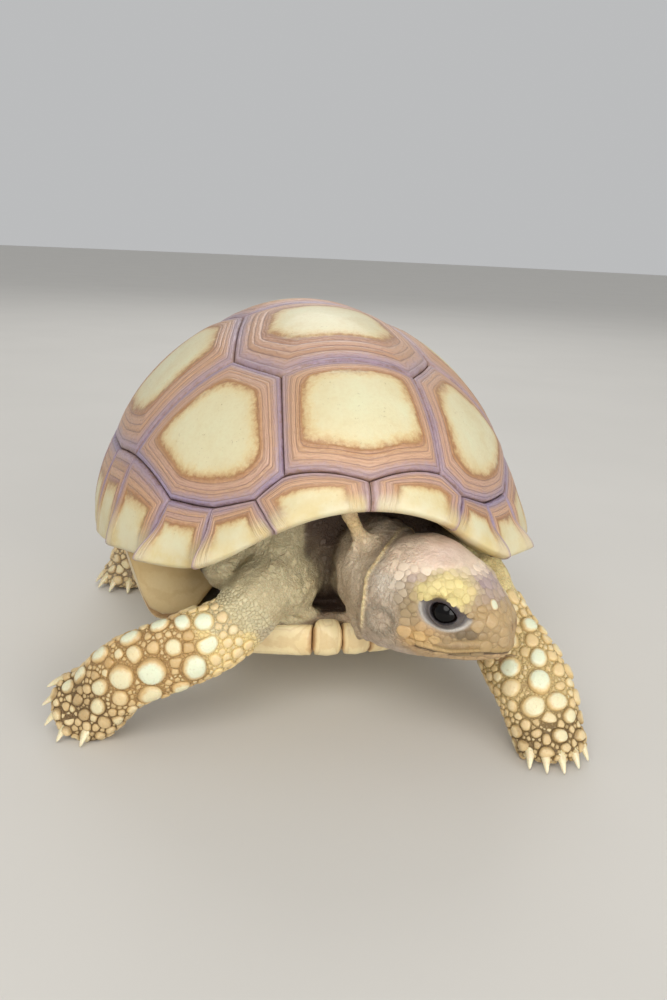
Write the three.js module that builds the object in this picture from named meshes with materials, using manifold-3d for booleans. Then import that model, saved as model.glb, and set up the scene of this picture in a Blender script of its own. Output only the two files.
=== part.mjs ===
// Sulcata tortoise, a young one standing, as a still life-size model.
// Millimetres. The tortoise faces -Y, its left is +X, up is +Z. The origin is on the ground, under the
// middle of the animal. Shapes are worked out in body coordinates (side, forward, up), with side positive
// to the animal's left and up measured from the lowest face of the plastron.
import * as THREE from "three";
import { mergeVertices } from "three/addons/utils/BufferGeometryUtils.js";
import Module from "manifold-3d";

const wasm = await Module();
wasm.setup();

// Driving dimensions of the shell.
const BELLY_HEIGHT = 9;
const HALF_LENGTH = 40;
const HALF_WIDTH = 32;
const DOME_HEIGHT = 44;
const GAP = 0.32;
const PLATE = 1.8;
const PLATE_CROWN = 0.7;
const FACET = 5;

// The dome is a superellipse from its top to its rim, and the rim is one in plan.
const DOME_POWER = 1.83;
const DOME_POWER_FRONT = 0.21;
const PLAN_POWER = 0.95;
const EGG = 0.02;
const RIM_SIDE = 11.4;
const RIM_FRONT_RISE = 12.7;
const RIM_FRONT_POWER = 2.43;
const RIM_REAR_RISE = 1.9;
const RIM_DIP = 4;
const RIM_DIP_ANGLE = 0.6;
const RIM_DIP_SPREAD = 0.3;
const RIM_FLARE = 0.048;
const RIM_LIP = 0.7;
const FLANGE = 3;
const RIM_TRIM = 0.32;
const TOP_TRIM = 1 + GAP / (HALF_LENGTH + 4);

// Plastron and bridge.
const PLASTRON = 2.4;
const LOBE_EDGE = 1.9;
const BRIDGE_START = 22.5;
const BRIDGE_POWER = 3;
const BRIDGE_END = 18;
const LOBE_FROM = 24.5;
const LOBE_RUN = 5;

const COLOURS = {
  areola: 0xd9cf9c,
  rim: 0xcbb37c,
  plastron: 0xd8bf88,
  skin: 0xb79c74,
  limb: 0xd2bb84,
  head: 0xbfa27c,
  jaw: 0xb3945f,
  eye: 0x120f10,
};

const clamp = (value, low, high) => Math.min(Math.max(value, low), high);
const mix = (a, b, f) => a + (b - a) * f;
const smooth = (value) => clamp(value, 0, 1) ** 2 * (3 - 2 * clamp(value, 0, 1));
const power = (value, exponent) => Math.sign(value) * Math.abs(value) ** exponent;
const body = (side, forward, up) => new THREE.Vector3(side, -forward, up + BELLY_HEIGHT);

// ---- Closed meshes ----

function closedGeometry(points, triangles) {
  const geometry = new THREE.BufferGeometry();
  const values = points.flatMap((point) => point.toArray());
  geometry.setAttribute("position", new THREE.Float32BufferAttribute(values, 3));
  const a = new THREE.Vector3();
  let volume = 0;
  for (const [i, j, k] of triangles) {
    volume += a.crossVectors(points[i], points[j]).dot(points[k]);
  }
  geometry.setIndex(triangles.flatMap(([i, j, k]) => (volume > 0 ? [i, j, k] : [i, k, j])));
  return geometry;
}

// Rings of equal count from one pole to the other: a limb, or a plate seen from its centre.
function fromRings(startPole, rings, endPole) {
  const count = rings[0].length;
  const points = [startPole, ...rings.flat(), endPole];
  const triangles = [];
  const at = (ring, i) => 1 + ring * count + (i % count);
  for (let i = 0; i < count; i += 1) {
    triangles.push([0, at(0, i + 1), at(0, i)]);
    for (let ring = 0; ring + 1 < rings.length; ring += 1) {
      triangles.push([at(ring, i), at(ring, i + 1), at(ring + 1, i + 1)]);
      triangles.push([at(ring, i), at(ring + 1, i + 1), at(ring + 1, i)]);
    }
    triangles.push([points.length - 1, at(rings.length - 1, i), at(rings.length - 1, i + 1)]);
  }
  return closedGeometry(points, triangles);
}

// A plate between two grids of the same size, closed round its edge.
function fromGrids(outer, inner) {
  const rows = outer.length;
  const columns = outer[0].length;
  const points = [...outer.flat(), ...inner.flat()];
  const top = (r, c) => r * columns + c;
  const low = (r, c) => rows * columns + r * columns + c;
  const triangles = [];
  const quad = (a, b, c, d) => triangles.push([a, b, c], [a, c, d]);
  for (let r = 0; r + 1 < rows; r += 1) {
    for (let c = 0; c + 1 < columns; c += 1) {
      quad(top(r, c), top(r, c + 1), top(r + 1, c + 1), top(r + 1, c));
      quad(low(r, c), low(r + 1, c), low(r + 1, c + 1), low(r, c + 1));
    }
    quad(top(r, 0), top(r + 1, 0), low(r + 1, 0), low(r, 0));
    quad(top(r, columns - 1), low(r, columns - 1), low(r + 1, columns - 1), top(r + 1, columns - 1));
  }
  for (let c = 0; c + 1 < columns; c += 1) {
    quad(top(0, c), low(0, c), low(0, c + 1), top(0, c + 1));
    quad(top(rows - 1, c), top(rows - 1, c + 1), low(rows - 1, c + 1), low(rows - 1, c));
  }
  return closedGeometry(points, triangles);
}

function toSolid(geometry) {
  const bare = new THREE.BufferGeometry();
  bare.setAttribute("position", geometry.getAttribute("position").clone());
  if (geometry.index) bare.setIndex(geometry.index.clone());
  const merged = mergeVertices(bare, 1e-4);
  return new wasm.Manifold(new wasm.Mesh({
    numProp: 3,
    vertProperties: Float32Array.from(merged.getAttribute("position").array),
    triVerts: Uint32Array.from(merged.index.array),
  }));
}

function toGeometry(solid) {
  const cut = solid.getMesh();
  const geometry = new THREE.BufferGeometry();
  geometry.setAttribute("position", new THREE.Float32BufferAttribute(cut.vertProperties, 3));
  geometry.setIndex(Array.from(cut.triVerts));
  return geometry;
}

// ---- Carapace surface ----

// angle is 0 at the front and grows towards the animal's left; reach is 0 at the top and 1 at the rim.
function rimHeight(angle) {
  const front = Math.max(Math.cos(angle), 0);
  const rear = Math.max(-Math.cos(angle), 0);
  const dip = ((Math.abs(angle) - RIM_DIP_ANGLE) / RIM_DIP_SPREAD) ** 2;
  return RIM_SIDE + RIM_FRONT_RISE * front ** RIM_FRONT_POWER + RIM_REAR_RISE * rear ** 2
    - RIM_DIP * Math.exp(-dip);
}

function domePoint(angle, reach) {
  const front = Math.max(Math.cos(angle), 0);
  const exponent = 2 / (DOME_POWER + DOME_POWER_FRONT * front ** 2);
  const spread = Math.sin(reach * Math.PI / 2) ** exponent;
  const fall = Math.max(Math.cos(reach * Math.PI / 2), 0) ** exponent;
  const flare = 1 + RIM_FLARE * clamp((reach - 0.75) / 0.25, 0, 1) ** 2 * clamp(Math.cos(angle) + 0.2, 0, 1);
  const side = HALF_WIDTH * power(Math.sin(angle), PLAN_POWER) * (1 - EGG * Math.cos(angle));
  const forward = HALF_LENGTH * power(Math.cos(angle), PLAN_POWER);
  const rim = rimHeight(angle);
  return body(side * spread * flare, forward * spread * flare, rim + (DOME_HEIGHT - rim) * fall);
}

// The plan of the scutes is drawn on a flat disc: u to the left, v forward, the rim at radius 1.
const onDisc = (u, v) => domePoint(Math.atan2(u, v), Math.min(Math.hypot(u, v), 1));

function normalOnDisc(u, v) {
  const step = 0.004;
  const across = onDisc(u + step, v).sub(onDisc(u - step, v));
  const along = onDisc(u, v + step).sub(onDisc(u, v - step));
  return across.cross(along).normalize().negate();
}

const polar = (angle, reach) => [Math.sin(angle) * reach, Math.cos(angle) * reach];

// ---- Scutes of the back: where their corners meet, for the left side ----

const SEAM = {
  frontMiddle: [0, 0.916],
  v1v2: [0.183, 0.478],
  v2c1c2: [0.293, 0.314],
  v2v3: [0.233, 0.035],
  v3c2c3: [0.3, -0.13],
  v3v4: [0.225, -0.34],
  v4c3c4: [0.275, -0.47],
  v4v5: [0.16, -0.62],
  v1c1: polar(0.296, 0.849),
  m1m2: polar(0.4, 0.884),
  m2m3: polar(0.576, 0.859),
  m3m4: polar(0.794, 0.837),
  m4m5: polar(1.125, 0.745),
  m5m6: polar(1.36, 0.742),
  m6m7: polar(1.6, 0.745),
  c2c3: polar(1.72, 0.738),
  m7m8: polar(1.86, 0.75),
  m8m9: polar(2.12, 0.768),
  c3c4: polar(2.28, 0.772),
  m9m10: polar(2.4, 0.79),
  m10m11: polar(2.65, 0.83),
  v5c4: polar(2.74, 0.836),
  m11tail: polar(2.9, 0.85),
  rearMiddle: [0, -0.872],
};

const VERTEBRALS = [
  ["frontMiddle", "v1c1", "v1v2"],
  ["v1v2", "v2c1c2", "v2v3"],
  ["v2v3", "v3c2c3", "v3v4"],
  ["v3v4", "v4c3c4", "v4v5"],
  ["v4v5", "v5c4", "m11tail", "rearMiddle"],
];

const COSTALS = [
  ["v1v2", "v1c1", "m1m2", "m2m3", "m3m4", "m4m5", "v2c1c2"],
  ["v2c1c2", "m4m5", "m5m6", "m6m7", "c2c3", "v3c2c3", "v2v3"],
  ["v3c2c3", "c2c3", "m7m8", "m8m9", "c3c4", "v4c3c4", "v3v4"],
  ["v4c3c4", "c3c4", "m9m10", "m10m11", "v5c4", "v4v5"],
];

// Each marginal: its upper edge, and the angles of its two seams at the rim.
const RIM_ANGLES = [0, 0.314, 0.585, 0.857, 1.123, 1.35, 1.6, 1.86, 2.12, 2.38, 2.64, 2.9];
const MARGINAL_TOPS = [
  ["frontMiddle", "v1c1", "m1m2"],
  ["m1m2", "m2m3"],
  ["m2m3", "m3m4"],
  ["m3m4", "m4m5"],
  ["m4m5", "m5m6"],
  ["m5m6", "m6m7"],
  ["m6m7", "c2c3", "m7m8"],
  ["m7m8", "m8m9"],
  ["m8m9", "c3c4", "m9m10"],
  ["m9m10", "m10m11"],
  ["m10m11", "v5c4", "m11tail"],
];

// How far the rear corner of each marginal juts past the rim.
const SAW = [1.3, 2.2, 2.2, 1, 0.3, 0.2, 0.3, 0.7, 1, 1.1, 0.9];
const SAW_POWER = 2.2;
const JUT_PLANE = 0.8;
const JUT_FROM = 0.4;
const RIM_ROUND = 0.8;
const STRIPS = 3;
const TAIL_SAW = 0.4;

const mirrored = ([u, v]) => [-u, v];
const corner = (name, hand) => (hand > 0 ? SEAM[name] : mirrored(SEAM[name]));

// Points along a closed outline, at least one at every corner.
function alongOutline(corners, spacing) {
  const points = [];
  corners.forEach((start, i) => {
    const end = corners[(i + 1) % corners.length];
    const length = onDisc(...start).distanceTo(onDisc(...end));
    const steps = Math.max(1, Math.round(length / spacing));
    for (let s = 0; s < steps; s += 1) {
      points.push([mix(start[0], end[0], s / steps), mix(start[1], end[1], s / steps)]);
    }
  });
  return points;
}

function backScute(corners) {
  const outline = alongOutline(corners, FACET);
  const middle = [0, 1].map((k) => outline.reduce((sum, p) => sum + p[k], 0) / outline.length);
  const centre = onDisc(...middle);
  const ring = (share, lift) => outline.map((point) => {
    const reach = onDisc(...point).distanceTo(centre);
    const inset = share * (1 - GAP / reach);
    const place = [0, 1].map((k) => mix(middle[k], point[k], inset));
    return onDisc(...place).addScaledVector(normalOnDisc(...place), lift);
  });
  const crown = (share) => PLATE_CROWN * (1 - share ** 3);
  const rings = [
    ring(0.5, crown(0.5)),
    ring(0.8, crown(0.8)),
    ring(1, 0),
    ring(1, -PLATE),
    ring(0.5, -PLATE),
  ];
  const up = normalOnDisc(...middle);
  const top = centre.clone().addScaledVector(up, crown(0));
  const low = centre.clone().addScaledVector(up, -PLATE);
  return fromRings(top, rings, low);
}

// ---- Marginals, which turn under at the rim ----

const inwardAtRim = (angle) => new THREE.Vector3(
  -Math.sin(angle) / HALF_WIDTH,
  Math.cos(angle) / HALF_LENGTH,
  0,
).normalize();

// The part of a direction that stays in line with a strip, so that a tip never leans over its neighbour.
function inPlaneOfStrip(direction, angle, reach, rimAngle) {
  const down = domePoint(rimAngle, 1).sub(domePoint(angle, reach)).normalize();
  const up = normalOnDisc(...polar(angle, reach));
  up.addScaledVector(down, -up.dot(down)).normalize();
  return down.multiplyScalar(direction.dot(down)).addScaledVector(up, direction.dot(up));
}

// One strip across a marginal, from its upper edge to the inner edge of its flange.
function marginalStrip(top, rimAngle, jut) {
  let topAngle = Math.atan2(top[0], top[1]);
  if (Math.abs(topAngle - rimAngle) > Math.PI) topAngle += 2 * Math.PI * Math.sign(rimAngle);
  const topReach = Math.hypot(top[0], top[1]);
  const inward = inwardAtRim(rimAngle);
  const outward = inPlaneOfStrip(
    inward.clone().negate(),
    mix(topAngle, rimAngle, JUT_PLANE),
    mix(topReach, 1, JUT_PLANE),
    rimAngle,
  );
  const outer = [];
  const inner = [];
  for (const share of [0, 0.33, 0.66, 1]) {
    const angle = mix(topAngle, rimAngle, share);
    const reach = mix(topReach, 1, share);
    const up = normalOnDisc(...polar(angle, Math.min(reach, 0.985)));
    const crown = 0.5 * PLATE_CROWN * Math.sin(share * Math.PI);
    const point = domePoint(angle, reach);
    const edge = smooth((share - JUT_FROM) / (1 - JUT_FROM));
    outer.push(point.clone().addScaledVector(up, crown).addScaledVector(outward, jut * edge));
    if (share < 1) inner.push(point.clone().addScaledVector(up, -PLATE));
  }
  // Round the rim, where the plate is a wedge at the ends of the shell and a hook along its sides.
  const hooked = Math.sin(rimAngle) ** 2;
  const rim = domePoint(rimAngle, 1);
  const turn = (inwards, upwards, out = 0) => rim.clone()
    .addScaledVector(inward, inwards)
    .addScaledVector(outward, out)
    .add(new THREE.Vector3(0, 0, upwards));
  outer.push(turn(RIM_ROUND, -RIM_LIP, 0.6 * jut));
  outer.push(turn(FLANGE, mix(-0.6, 0, hooked)));
  inner.push(turn(mix(2.5, 2.2, hooked), mix(0.15, 1.5, hooked)));
  inner.push(turn(mix(2.7, 2.6, hooked), mix(0, 1.2, hooked)));
  inner.push(turn(FLANGE - 0.05, mix(-0.1, 1.3, hooked)));
  return [outer, inner];
}

function marginal(tops, startAngle, endAngle, jutAt) {
  const lengths = [0];
  for (let i = 1; i < tops.length; i += 1) {
    lengths.push(lengths[i - 1] + onDisc(...tops[i]).distanceTo(onDisc(...tops[i - 1])));
  }
  const total = lengths[lengths.length - 1];
  const span = domePoint(startAngle, 1).distanceTo(domePoint(endAngle, 1));
  const trim = 0.5 * GAP;
  const outer = [];
  const inner = [];
  const shares = Array.from({ length: STRIPS + 1 }, (_, i) => i / STRIPS);
  lengths.slice(1, -1).forEach((length) => {
    const nearest = Math.round((length / total) * STRIPS);
    shares[nearest] = length / total;
  });
  for (const share of shares) {
    const topShare = mix(trim / total, 1 - trim / total, share);
    const at = topShare * total;
    let i = 0;
    while (i < tops.length - 2 && lengths[i + 1] < at) i += 1;
    const f = clamp((at - lengths[i]) / (lengths[i + 1] - lengths[i]), 0, 1);
    const edge = [0, 1].map((k) => mix(tops[i][k], tops[i + 1][k], f));
    const top = edge.map((value) => value * TOP_TRIM);
    const rimAngle = mix(startAngle, endAngle, mix(RIM_TRIM / span, 1 - RIM_TRIM / span, share));
    const [strip, back] = marginalStrip(top, rimAngle, jutAt(share));
    outer.push(strip);
    inner.push(back);
  }
  return fromGrids(outer, inner);
}

// ---- Plastron ----

const rimSideAt = (forward) => {
  const cosine = power(forward / HALF_LENGTH, 1 / PLAN_POWER);
  return Math.abs(domePoint(Math.acos(cosine), 1).x);
};
const bridgeEdge = (forward) => rimSideAt(forward) - FLANGE - GAP;

function plastronHeight(side, forward) {
  const edge = bridgeEdge(clamp(forward, -BRIDGE_END, BRIDGE_END));
  const share = clamp((side - BRIDGE_START) / (edge - BRIDGE_START), 0, 1);
  return (RIM_SIDE - 0.9) * share ** BRIDGE_POWER;
}

function plastronThickness(side, forward) {
  const lobe = LOBE_EDGE * smooth((forward - LOBE_FROM) / LOBE_RUN);
  return PLASTRON + lobe - 0.5 * smooth((side - BRIDGE_START - 1) / 6);
}

const MIDLINE = 0.5 * GAP;
const onBridge = (share, forward) => [mix(BRIDGE_START, bridgeEdge(forward), share), forward];

// Each plastral scute is ruled between two lines of (side, forward) points with the same count.
const PLASTRAL = {
  gular: [
    [[MIDLINE, 31.4], [1.9, 32], [3.7, 31.3]],
    [[MIDLINE, 24.4], [1.9, 27.2], [3.8, 30.5]],
  ],
  humeral: [
    [[4.1, 30.4], [2.1, 26.9], [MIDLINE, 23.9], [MIDLINE, 16.4]],
    [[4.4, 31], [14.2, 28.4], [17.6, 24], [18.4, 17.2]],
  ],
  pectoral: [
    [[MIDLINE, 16], [9, 16.1], [18.6, 16.8], onBridge(0.45, 16), onBridge(0.75, 15.4), onBridge(1, 15)],
    [[MIDLINE, 10.6], [9, 10.5], [18.6, 9.6], onBridge(0.45, 9.3), onBridge(0.75, 9.1), onBridge(1, 9)],
  ],
  abdominal: [
    [[MIDLINE, 10.2], [9, 10.1], [18.6, 9.2], onBridge(0.45, 8.9), onBridge(0.75, 8.7), onBridge(1, 8.6)],
    [
      [MIDLINE, -12.8],
      [9, -13],
      [18, -14.6],
      onBridge(0.45, -15.1),
      onBridge(0.75, -15.4),
      onBridge(1, -15.5),
    ],
  ],
  femoral: [
    [[MIDLINE, -13.2], [MIDLINE, -24.6]],
    [[17, -15.1], [14.4, -26.4]],
  ],
  anal: [
    [[MIDLINE, -25], [MIDLINE, -31.5]],
    [[14.2, -26.8], [7, -35]],
  ],
};

function plastralScute(name, hand) {
  const [first, second] = PLASTRAL[name];
  const low = [];
  const high = [];
  for (const [i, start] of first.entries()) {
    const cells = [0, 0.33, 0.67, 1].map((f) => [0, 1].map((k) => mix(start[k], second[i][k], f)));
    low.push(cells.map(([side, forward]) => body(hand * side, forward, plastronHeight(side, forward))));
    high.push(cells.map(([side, forward]) => body(
      hand * side,
      forward,
      plastronHeight(side, forward) + plastronThickness(side, forward),
    )));
  }
  return fromGrids(low, high);
}

// ---- Flesh ----

// An oval tube through stations { at: [side, forward, up], wide, thick, face } where face is the
// direction of the wide axis before it is squared to the path.
function tube(stations, sides, ends) {
  const path = stations.map((station) => body(...station.at));
  const rings = stations.map((station, i) => {
    const before = path[Math.max(i - 1, 0)];
    const after = path[Math.min(i + 1, path.length - 1)];
    const along = after.clone().sub(before).normalize();
    const wide = new THREE.Vector3(station.face[0], -station.face[1], station.face[2]);
    wide.addScaledVector(along, -wide.dot(along)).normalize();
    const thick = along.clone().cross(wide);
    return Array.from({ length: sides }, (_, k) => {
      const turn = (k / sides) * 2 * Math.PI;
      return path[i].clone()
        .addScaledVector(wide, station.wide * power(Math.cos(turn), 0.9))
        .addScaledVector(thick, station.thick * power(Math.sin(turn), 0.9));
    });
  });
  const cap = (i, j, bulge) => {
    const away = path[i].clone().sub(path[j]).normalize();
    return path[i].clone().addScaledVector(away, bulge);
  };
  const last = path.length - 1;
  return fromRings(cap(0, 1, ends[0]), rings, cap(last, last - 1, ends[1]));
}

// Stations between the given ones, so that a limb bends and swells smoothly.
function refine(stations, steps) {
  const result = [];
  const values = stations.map(({ at, wide, thick, face }) => [...at, wide, thick, ...face]);
  const pick = (i) => values[clamp(i, 0, values.length - 1)];
  for (let i = 0; i + 1 < values.length; i += 1) {
    for (let s = 0; s < steps; s += 1) {
      const t = s / steps;
      const row = pick(i).map((value, k) => {
        const [p, q, r, w] = [pick(i - 1)[k], value, pick(i + 1)[k], pick(i + 2)[k]];
        return q + 0.5 * t * (r - p + t * (2 * p - 5 * q + 4 * r - w + t * (3 * (q - r) + w - p)));
      });
      result.push(row);
    }
  }
  result.push(values[values.length - 1]);
  return result.map((row) => ({ at: row.slice(0, 3), wide: row[3], thick: row[4], face: row.slice(5, 8) }));
}

// Feet stand on small flats: what would go under the ground is pressed up to it.
function standOnGround(geometry) {
  const position = geometry.getAttribute("position");
  for (let i = 0; i < position.count; i += 1) {
    position.setZ(i, Math.max(position.getZ(i), 0));
  }
  return geometry;
}

const CLAW_ROOT = 2;
const CLAW_RADIUS = 0.85;
const CLAW_BEND = 0.55;
const CLAW_TAPER = 0.28;
const CLAW_SIDES = 6;

// A claw starts inside the toe, and tapers and bends down to its tip.
function claw([root, tip]) {
  const end = body(...tip);
  const start = body(...root);
  start.addScaledVector(start.clone().sub(end).normalize(), CLAW_ROOT);
  const path = [0.05, 0.45, 0.75].map((f) => {
    const point = start.clone().lerp(end, f);
    point.z += CLAW_BEND * Math.sin(f * Math.PI);
    return point;
  });
  const rings = path.map((point, i) => {
    const along = (path[i + 1] ?? end).clone().sub(path[Math.max(i - 1, 0)]).normalize();
    const across = new THREE.Vector3(0, 0, 1).cross(along).normalize();
    const over = along.clone().cross(across);
    const size = CLAW_RADIUS * (1 - CLAW_TAPER * i);
    return Array.from({ length: CLAW_SIDES }, (_, k) => {
      const turn = (k / CLAW_SIDES) * 2 * Math.PI;
      return point.clone()
        .addScaledVector(across, size * Math.cos(turn))
        .addScaledVector(over, size * Math.sin(turn));
    });
  });
  end.z = Math.max(end.z, 0);
  rings.flat().forEach((point) => {
    point.z = Math.max(point.z, 0);
  });
  return fromRings(start, rings, end);
}

const TRUNK_SPREAD = 0.84;
const TRUNK_FRONT = 0.71;
const TRUNK_REAR = 0.78;
const TRUNK_WAIST = 17;
const TRUNK_FLOOR = 3.3;
const TRUNK_TOP = DOME_HEIGHT - PLATE - 1;
const TRUNK_LOW_POWER = 2.5;
const TRUNK_CHEST_POWER = 2;

function trunkGeometry(grow) {
  const sides = 28;
  const up = [0.22, 0.42, 0.6, 0.78, 0.9, 1];
  const down = [0.86, 0.7, 0.5, 0.25];
  const ringAt = (reach, upper) => Array.from({ length: sides }, (_, k) => {
    const angle = (k / sides) * 2 * Math.PI;
    const lengthwise = Math.cos(angle) > 0 ? TRUNK_FRONT : TRUNK_REAR;
    const lowPower = TRUNK_LOW_POWER + TRUNK_CHEST_POWER * Math.max(Math.cos(angle), 0) ** 2;
    const exponent = 2 / (upper ? DOME_POWER : lowPower);
    const spread = Math.sin(reach * Math.PI / 2) ** exponent;
    const height = Math.max(Math.cos(reach * Math.PI / 2), 0) ** exponent;
    const side = (HALF_WIDTH * TRUNK_SPREAD + grow) * Math.sin(angle) * spread;
    const forward = (HALF_LENGTH * lengthwise + grow) * Math.cos(angle) * spread;
    const level = upper
      ? TRUNK_WAIST + (TRUNK_TOP + grow - TRUNK_WAIST) * height
      : TRUNK_WAIST - (TRUNK_WAIST - TRUNK_FLOOR + grow) * height;
    return body(side, forward, level);
  });
  const rings = [...up.map((reach) => ringAt(reach, true)), ...down.map((reach) => ringAt(reach, false))];
  return fromRings(body(0, 0, TRUNK_TOP + grow), rings, body(0, 0, TRUNK_FLOOR - grow));
}

// ---- Head, in its own coordinates (forward, left, up) from the back of the skull ----

const HEAD_AT = [1.6, 33.6, 10.8];
const HEAD_TURN = THREE.MathUtils.degToRad(54);
const HEAD_NOD = THREE.MathUtils.degToRad(-1);
const HEAD_LEAN = THREE.MathUtils.degToRad(-5);
const EYE = { at: [13, 6.1, 1.5], radius: 1.9 };

const headAxes = (() => {
  const ahead = new THREE.Vector3(
    Math.sin(HEAD_TURN) * Math.cos(HEAD_NOD),
    -Math.cos(HEAD_TURN) * Math.cos(HEAD_NOD),
    Math.sin(HEAD_NOD),
  );
  const flat = new THREE.Vector3(Math.cos(HEAD_TURN), Math.sin(HEAD_TURN), 0);
  const above = ahead.clone().cross(flat);
  if (above.z < 0) above.negate();
  const left = flat.clone().multiplyScalar(Math.cos(HEAD_LEAN)).addScaledVector(above, Math.sin(HEAD_LEAN));
  const up = above.clone().multiplyScalar(Math.cos(HEAD_LEAN)).addScaledVector(flat, -Math.sin(HEAD_LEAN));
  return { ahead, left, up };
})();

const inHead = (ahead, left, up) => body(...HEAD_AT)
  .addScaledVector(headAxes.ahead, ahead)
  .addScaledVector(headAxes.left, left)
  .addScaledVector(headAxes.up, up);

// Stations of the head: distance ahead, half width, crown height, throat depth.
const HEAD_STATIONS = [
  [1.6, 5.3, 4.9, 5.1],
  [3, 6.9, 7, 6],
  [5, 7.8, 8.2, 6.3],
  [8, 8.2, 8.8, 6.3],
  [10.5, 8.1, 8.3, 6.2],
  [12.5, 7.5, 7.4, 6],
  [14.5, 6.7, 6.2, 5.8],
  [16.1, 5.7, 4.8, 5.6],
  [17.6, 4.7, 3.2, 5.3],
  [18.8, 3.7, 1.7, 4.9],
  [19.7, 2.6, 0.2, 4.3],
];

function headGeometry(grow) {
  const sides = 24;
  const rings = HEAD_STATIONS.map(([ahead, wide, crown, throat]) => Array.from({ length: sides }, (_, k) => {
    const turn = (k / sides) * 2 * Math.PI;
    const cosine = Math.cos(turn);
    const sine = Math.sin(turn);
    const height = sine > 0 ? crown + grow : throat + grow;
    return inHead(ahead, (wide + grow) * power(cosine, 0.86), height * power(sine, 0.86));
  }));
  return fromRings(inHead(0.9 - grow, 0, 0), rings, inHead(20.2 + grow, 0, -2.2));
}

// The lower jaw is the head below the line of the mouth, in front of the jaw joint.
function jawRegion(grow) {
  const profile = [
    [8, -3], [10.5, -3.4], [13.5, -3.9], [17, -3.5], [19.4, -3.5], [23, -4.2], [23, -12], [6.4, -12],
  ];
  const rings = [-12, 12].map((left) => profile.map(([ahead, up]) => inHead(
    ahead - (ahead < 8 ? grow : 0),
    left,
    up + (up > -12 ? grow : 0),
  )));
  return toSolid(fromRings(inHead(14, -12, -8), rings, inHead(14, 12, -8)));
}

function eyeGeometry(hand, grow) {
  const geometry = new THREE.SphereGeometry(EYE.radius + grow, 10, 8);
  const centre = inHead(EYE.at[0], hand * EYE.at[1], EYE.at[2]);
  geometry.translate(centre.x, centre.y, centre.z);
  return geometry;
}

// ---- Limbs ----

const FRONT_LEG_RIGHT = {
  stations: [
    { at: [-4.5, 20, 12.4], wide: 5.2, thick: 4.6, face: [-0.7, 0, 0.7] },
    { at: [-7.4, 27, 10.8], wide: 5.8, thick: 4.4, face: [-0.7, 0, 0.7] },
    { at: [-10.6, 30, 9.5], wide: 4.7, thick: 4.1, face: [-0.6, -0.1, 0.8] },
    { at: [-14.3, 32.5, 6.2], wide: 4.5, thick: 3.9, face: [-0.5, -0.2, 0.9] },
    { at: [-18.2, 33.5, 4.4], wide: 4.8, thick: 3.7, face: [-0.3, -0.3, 0.9] },
    { at: [-23.2, 33.5, 2.5], wide: 4.9, thick: 3.5, face: [-0.3, -0.3, 0.9] },
    { at: [-28.3, 32.4, -0.2], wide: 4.9, thick: 3.3, face: [-0.3, -0.3, 0.9] },
    { at: [-31.7, 30.9, -4.5], wide: 4.8, thick: 3.1, face: [-0.3, -0.3, 0.9] },
    { at: [-34, 29.6, -7.3], wide: 4.6, thick: 3.1, face: [-0.3, -0.3, 0.9] },
  ],
  claws: [
    [[-35.2, 28.6, -2.8], [-38.4, 28, -3.6]],
    [[-35.9, 29.4, -4.4], [-39, 28.9, -5.8]],
    [[-35.9, 30.3, -6], [-38.6, 30.6, -7.9]],
    [[-34.9, 31.4, -7.2], [-36.9, 33, -9]],
    [[-32.4, 32.4, -7.2], [-33.9, 34.6, -9]],
  ],
};

const FRONT_LEG_LEFT = {
  stations: [
    { at: [12.6, 20, 11.8], wide: 5.2, thick: 4.8, face: [0.8, 0, 0.6] },
    { at: [19.3, 25.6, 9.9], wide: 4.5, thick: 4.3, face: [0.8, 0, 0.6] },
    { at: [20.4, 29.4, 6.6], wide: 4.9, thick: 4.3, face: [0.8, 0, 0.5] },
    { at: [21.6, 33, 3.6], wide: 5.1, thick: 4, face: [0.9, -0.1, 0.4] },
    { at: [22.9, 37, 0.8], wide: 5.5, thick: 3.8, face: [0.9, -0.1, 0.4] },
    { at: [23.9, 40.5, -2], wide: 5.5, thick: 3.5, face: [0.9, -0.1, 0.3] },
    { at: [24.5, 43, -5.6], wide: 5.1, thick: 3.4, face: [0.9, -0.1, 0.2] },
    { at: [24.8, 44.6, -8.2], wide: 4.6, thick: 3.2, face: [0.9, -0.1, 0.1] },
  ],
  claws: [
    [[21.6, 45, -6.8], [20.6, 47.6, -9]],
    [[23, 46, -7], [22.5, 48.8, -9]],
    [[24.8, 46.3, -7], [24.7, 49.2, -9]],
    [[26.6, 45.8, -6.9], [27.1, 48.4, -9]],
    [[28, 44.8, -6.6], [29.2, 46.9, -9]],
  ],
};

const HIND_LEG_RIGHT = {
  stations: [
    { at: [-11, -21, 11.4], wide: 6.2, thick: 5.4, face: [1, 0, 0] },
    { at: [-17.4, -22.6, 8.6], wide: 5.6, thick: 5, face: [1, 0, 0.2] },
    { at: [-22.2, -23.4, 4.8], wide: 5.2, thick: 4.9, face: [1, 0, 0.4] },
    { at: [-25, -23.4, -0.2], wide: 4.8, thick: 4.8, face: [1, 0, 0.2] },
    { at: [-26.2, -22.8, -4.6], wide: 4.9, thick: 4.9, face: [1, 0, 0] },
    { at: [-26.8, -22.4, -8.4], wide: 5, thick: 5, face: [1, 0, 0] },
  ],
  claws: [
    [[-27.6, -18.4, -7.2], [-28.2, -15.6, -9]],
    [[-29.6, -18.9, -7.2], [-31.6, -16.6, -9]],
    [[-31, -20.6, -7.2], [-33.6, -18.9, -9]],
    [[-31.4, -22.8, -7.2], [-34.2, -21.9, -9]],
  ],
};

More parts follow.
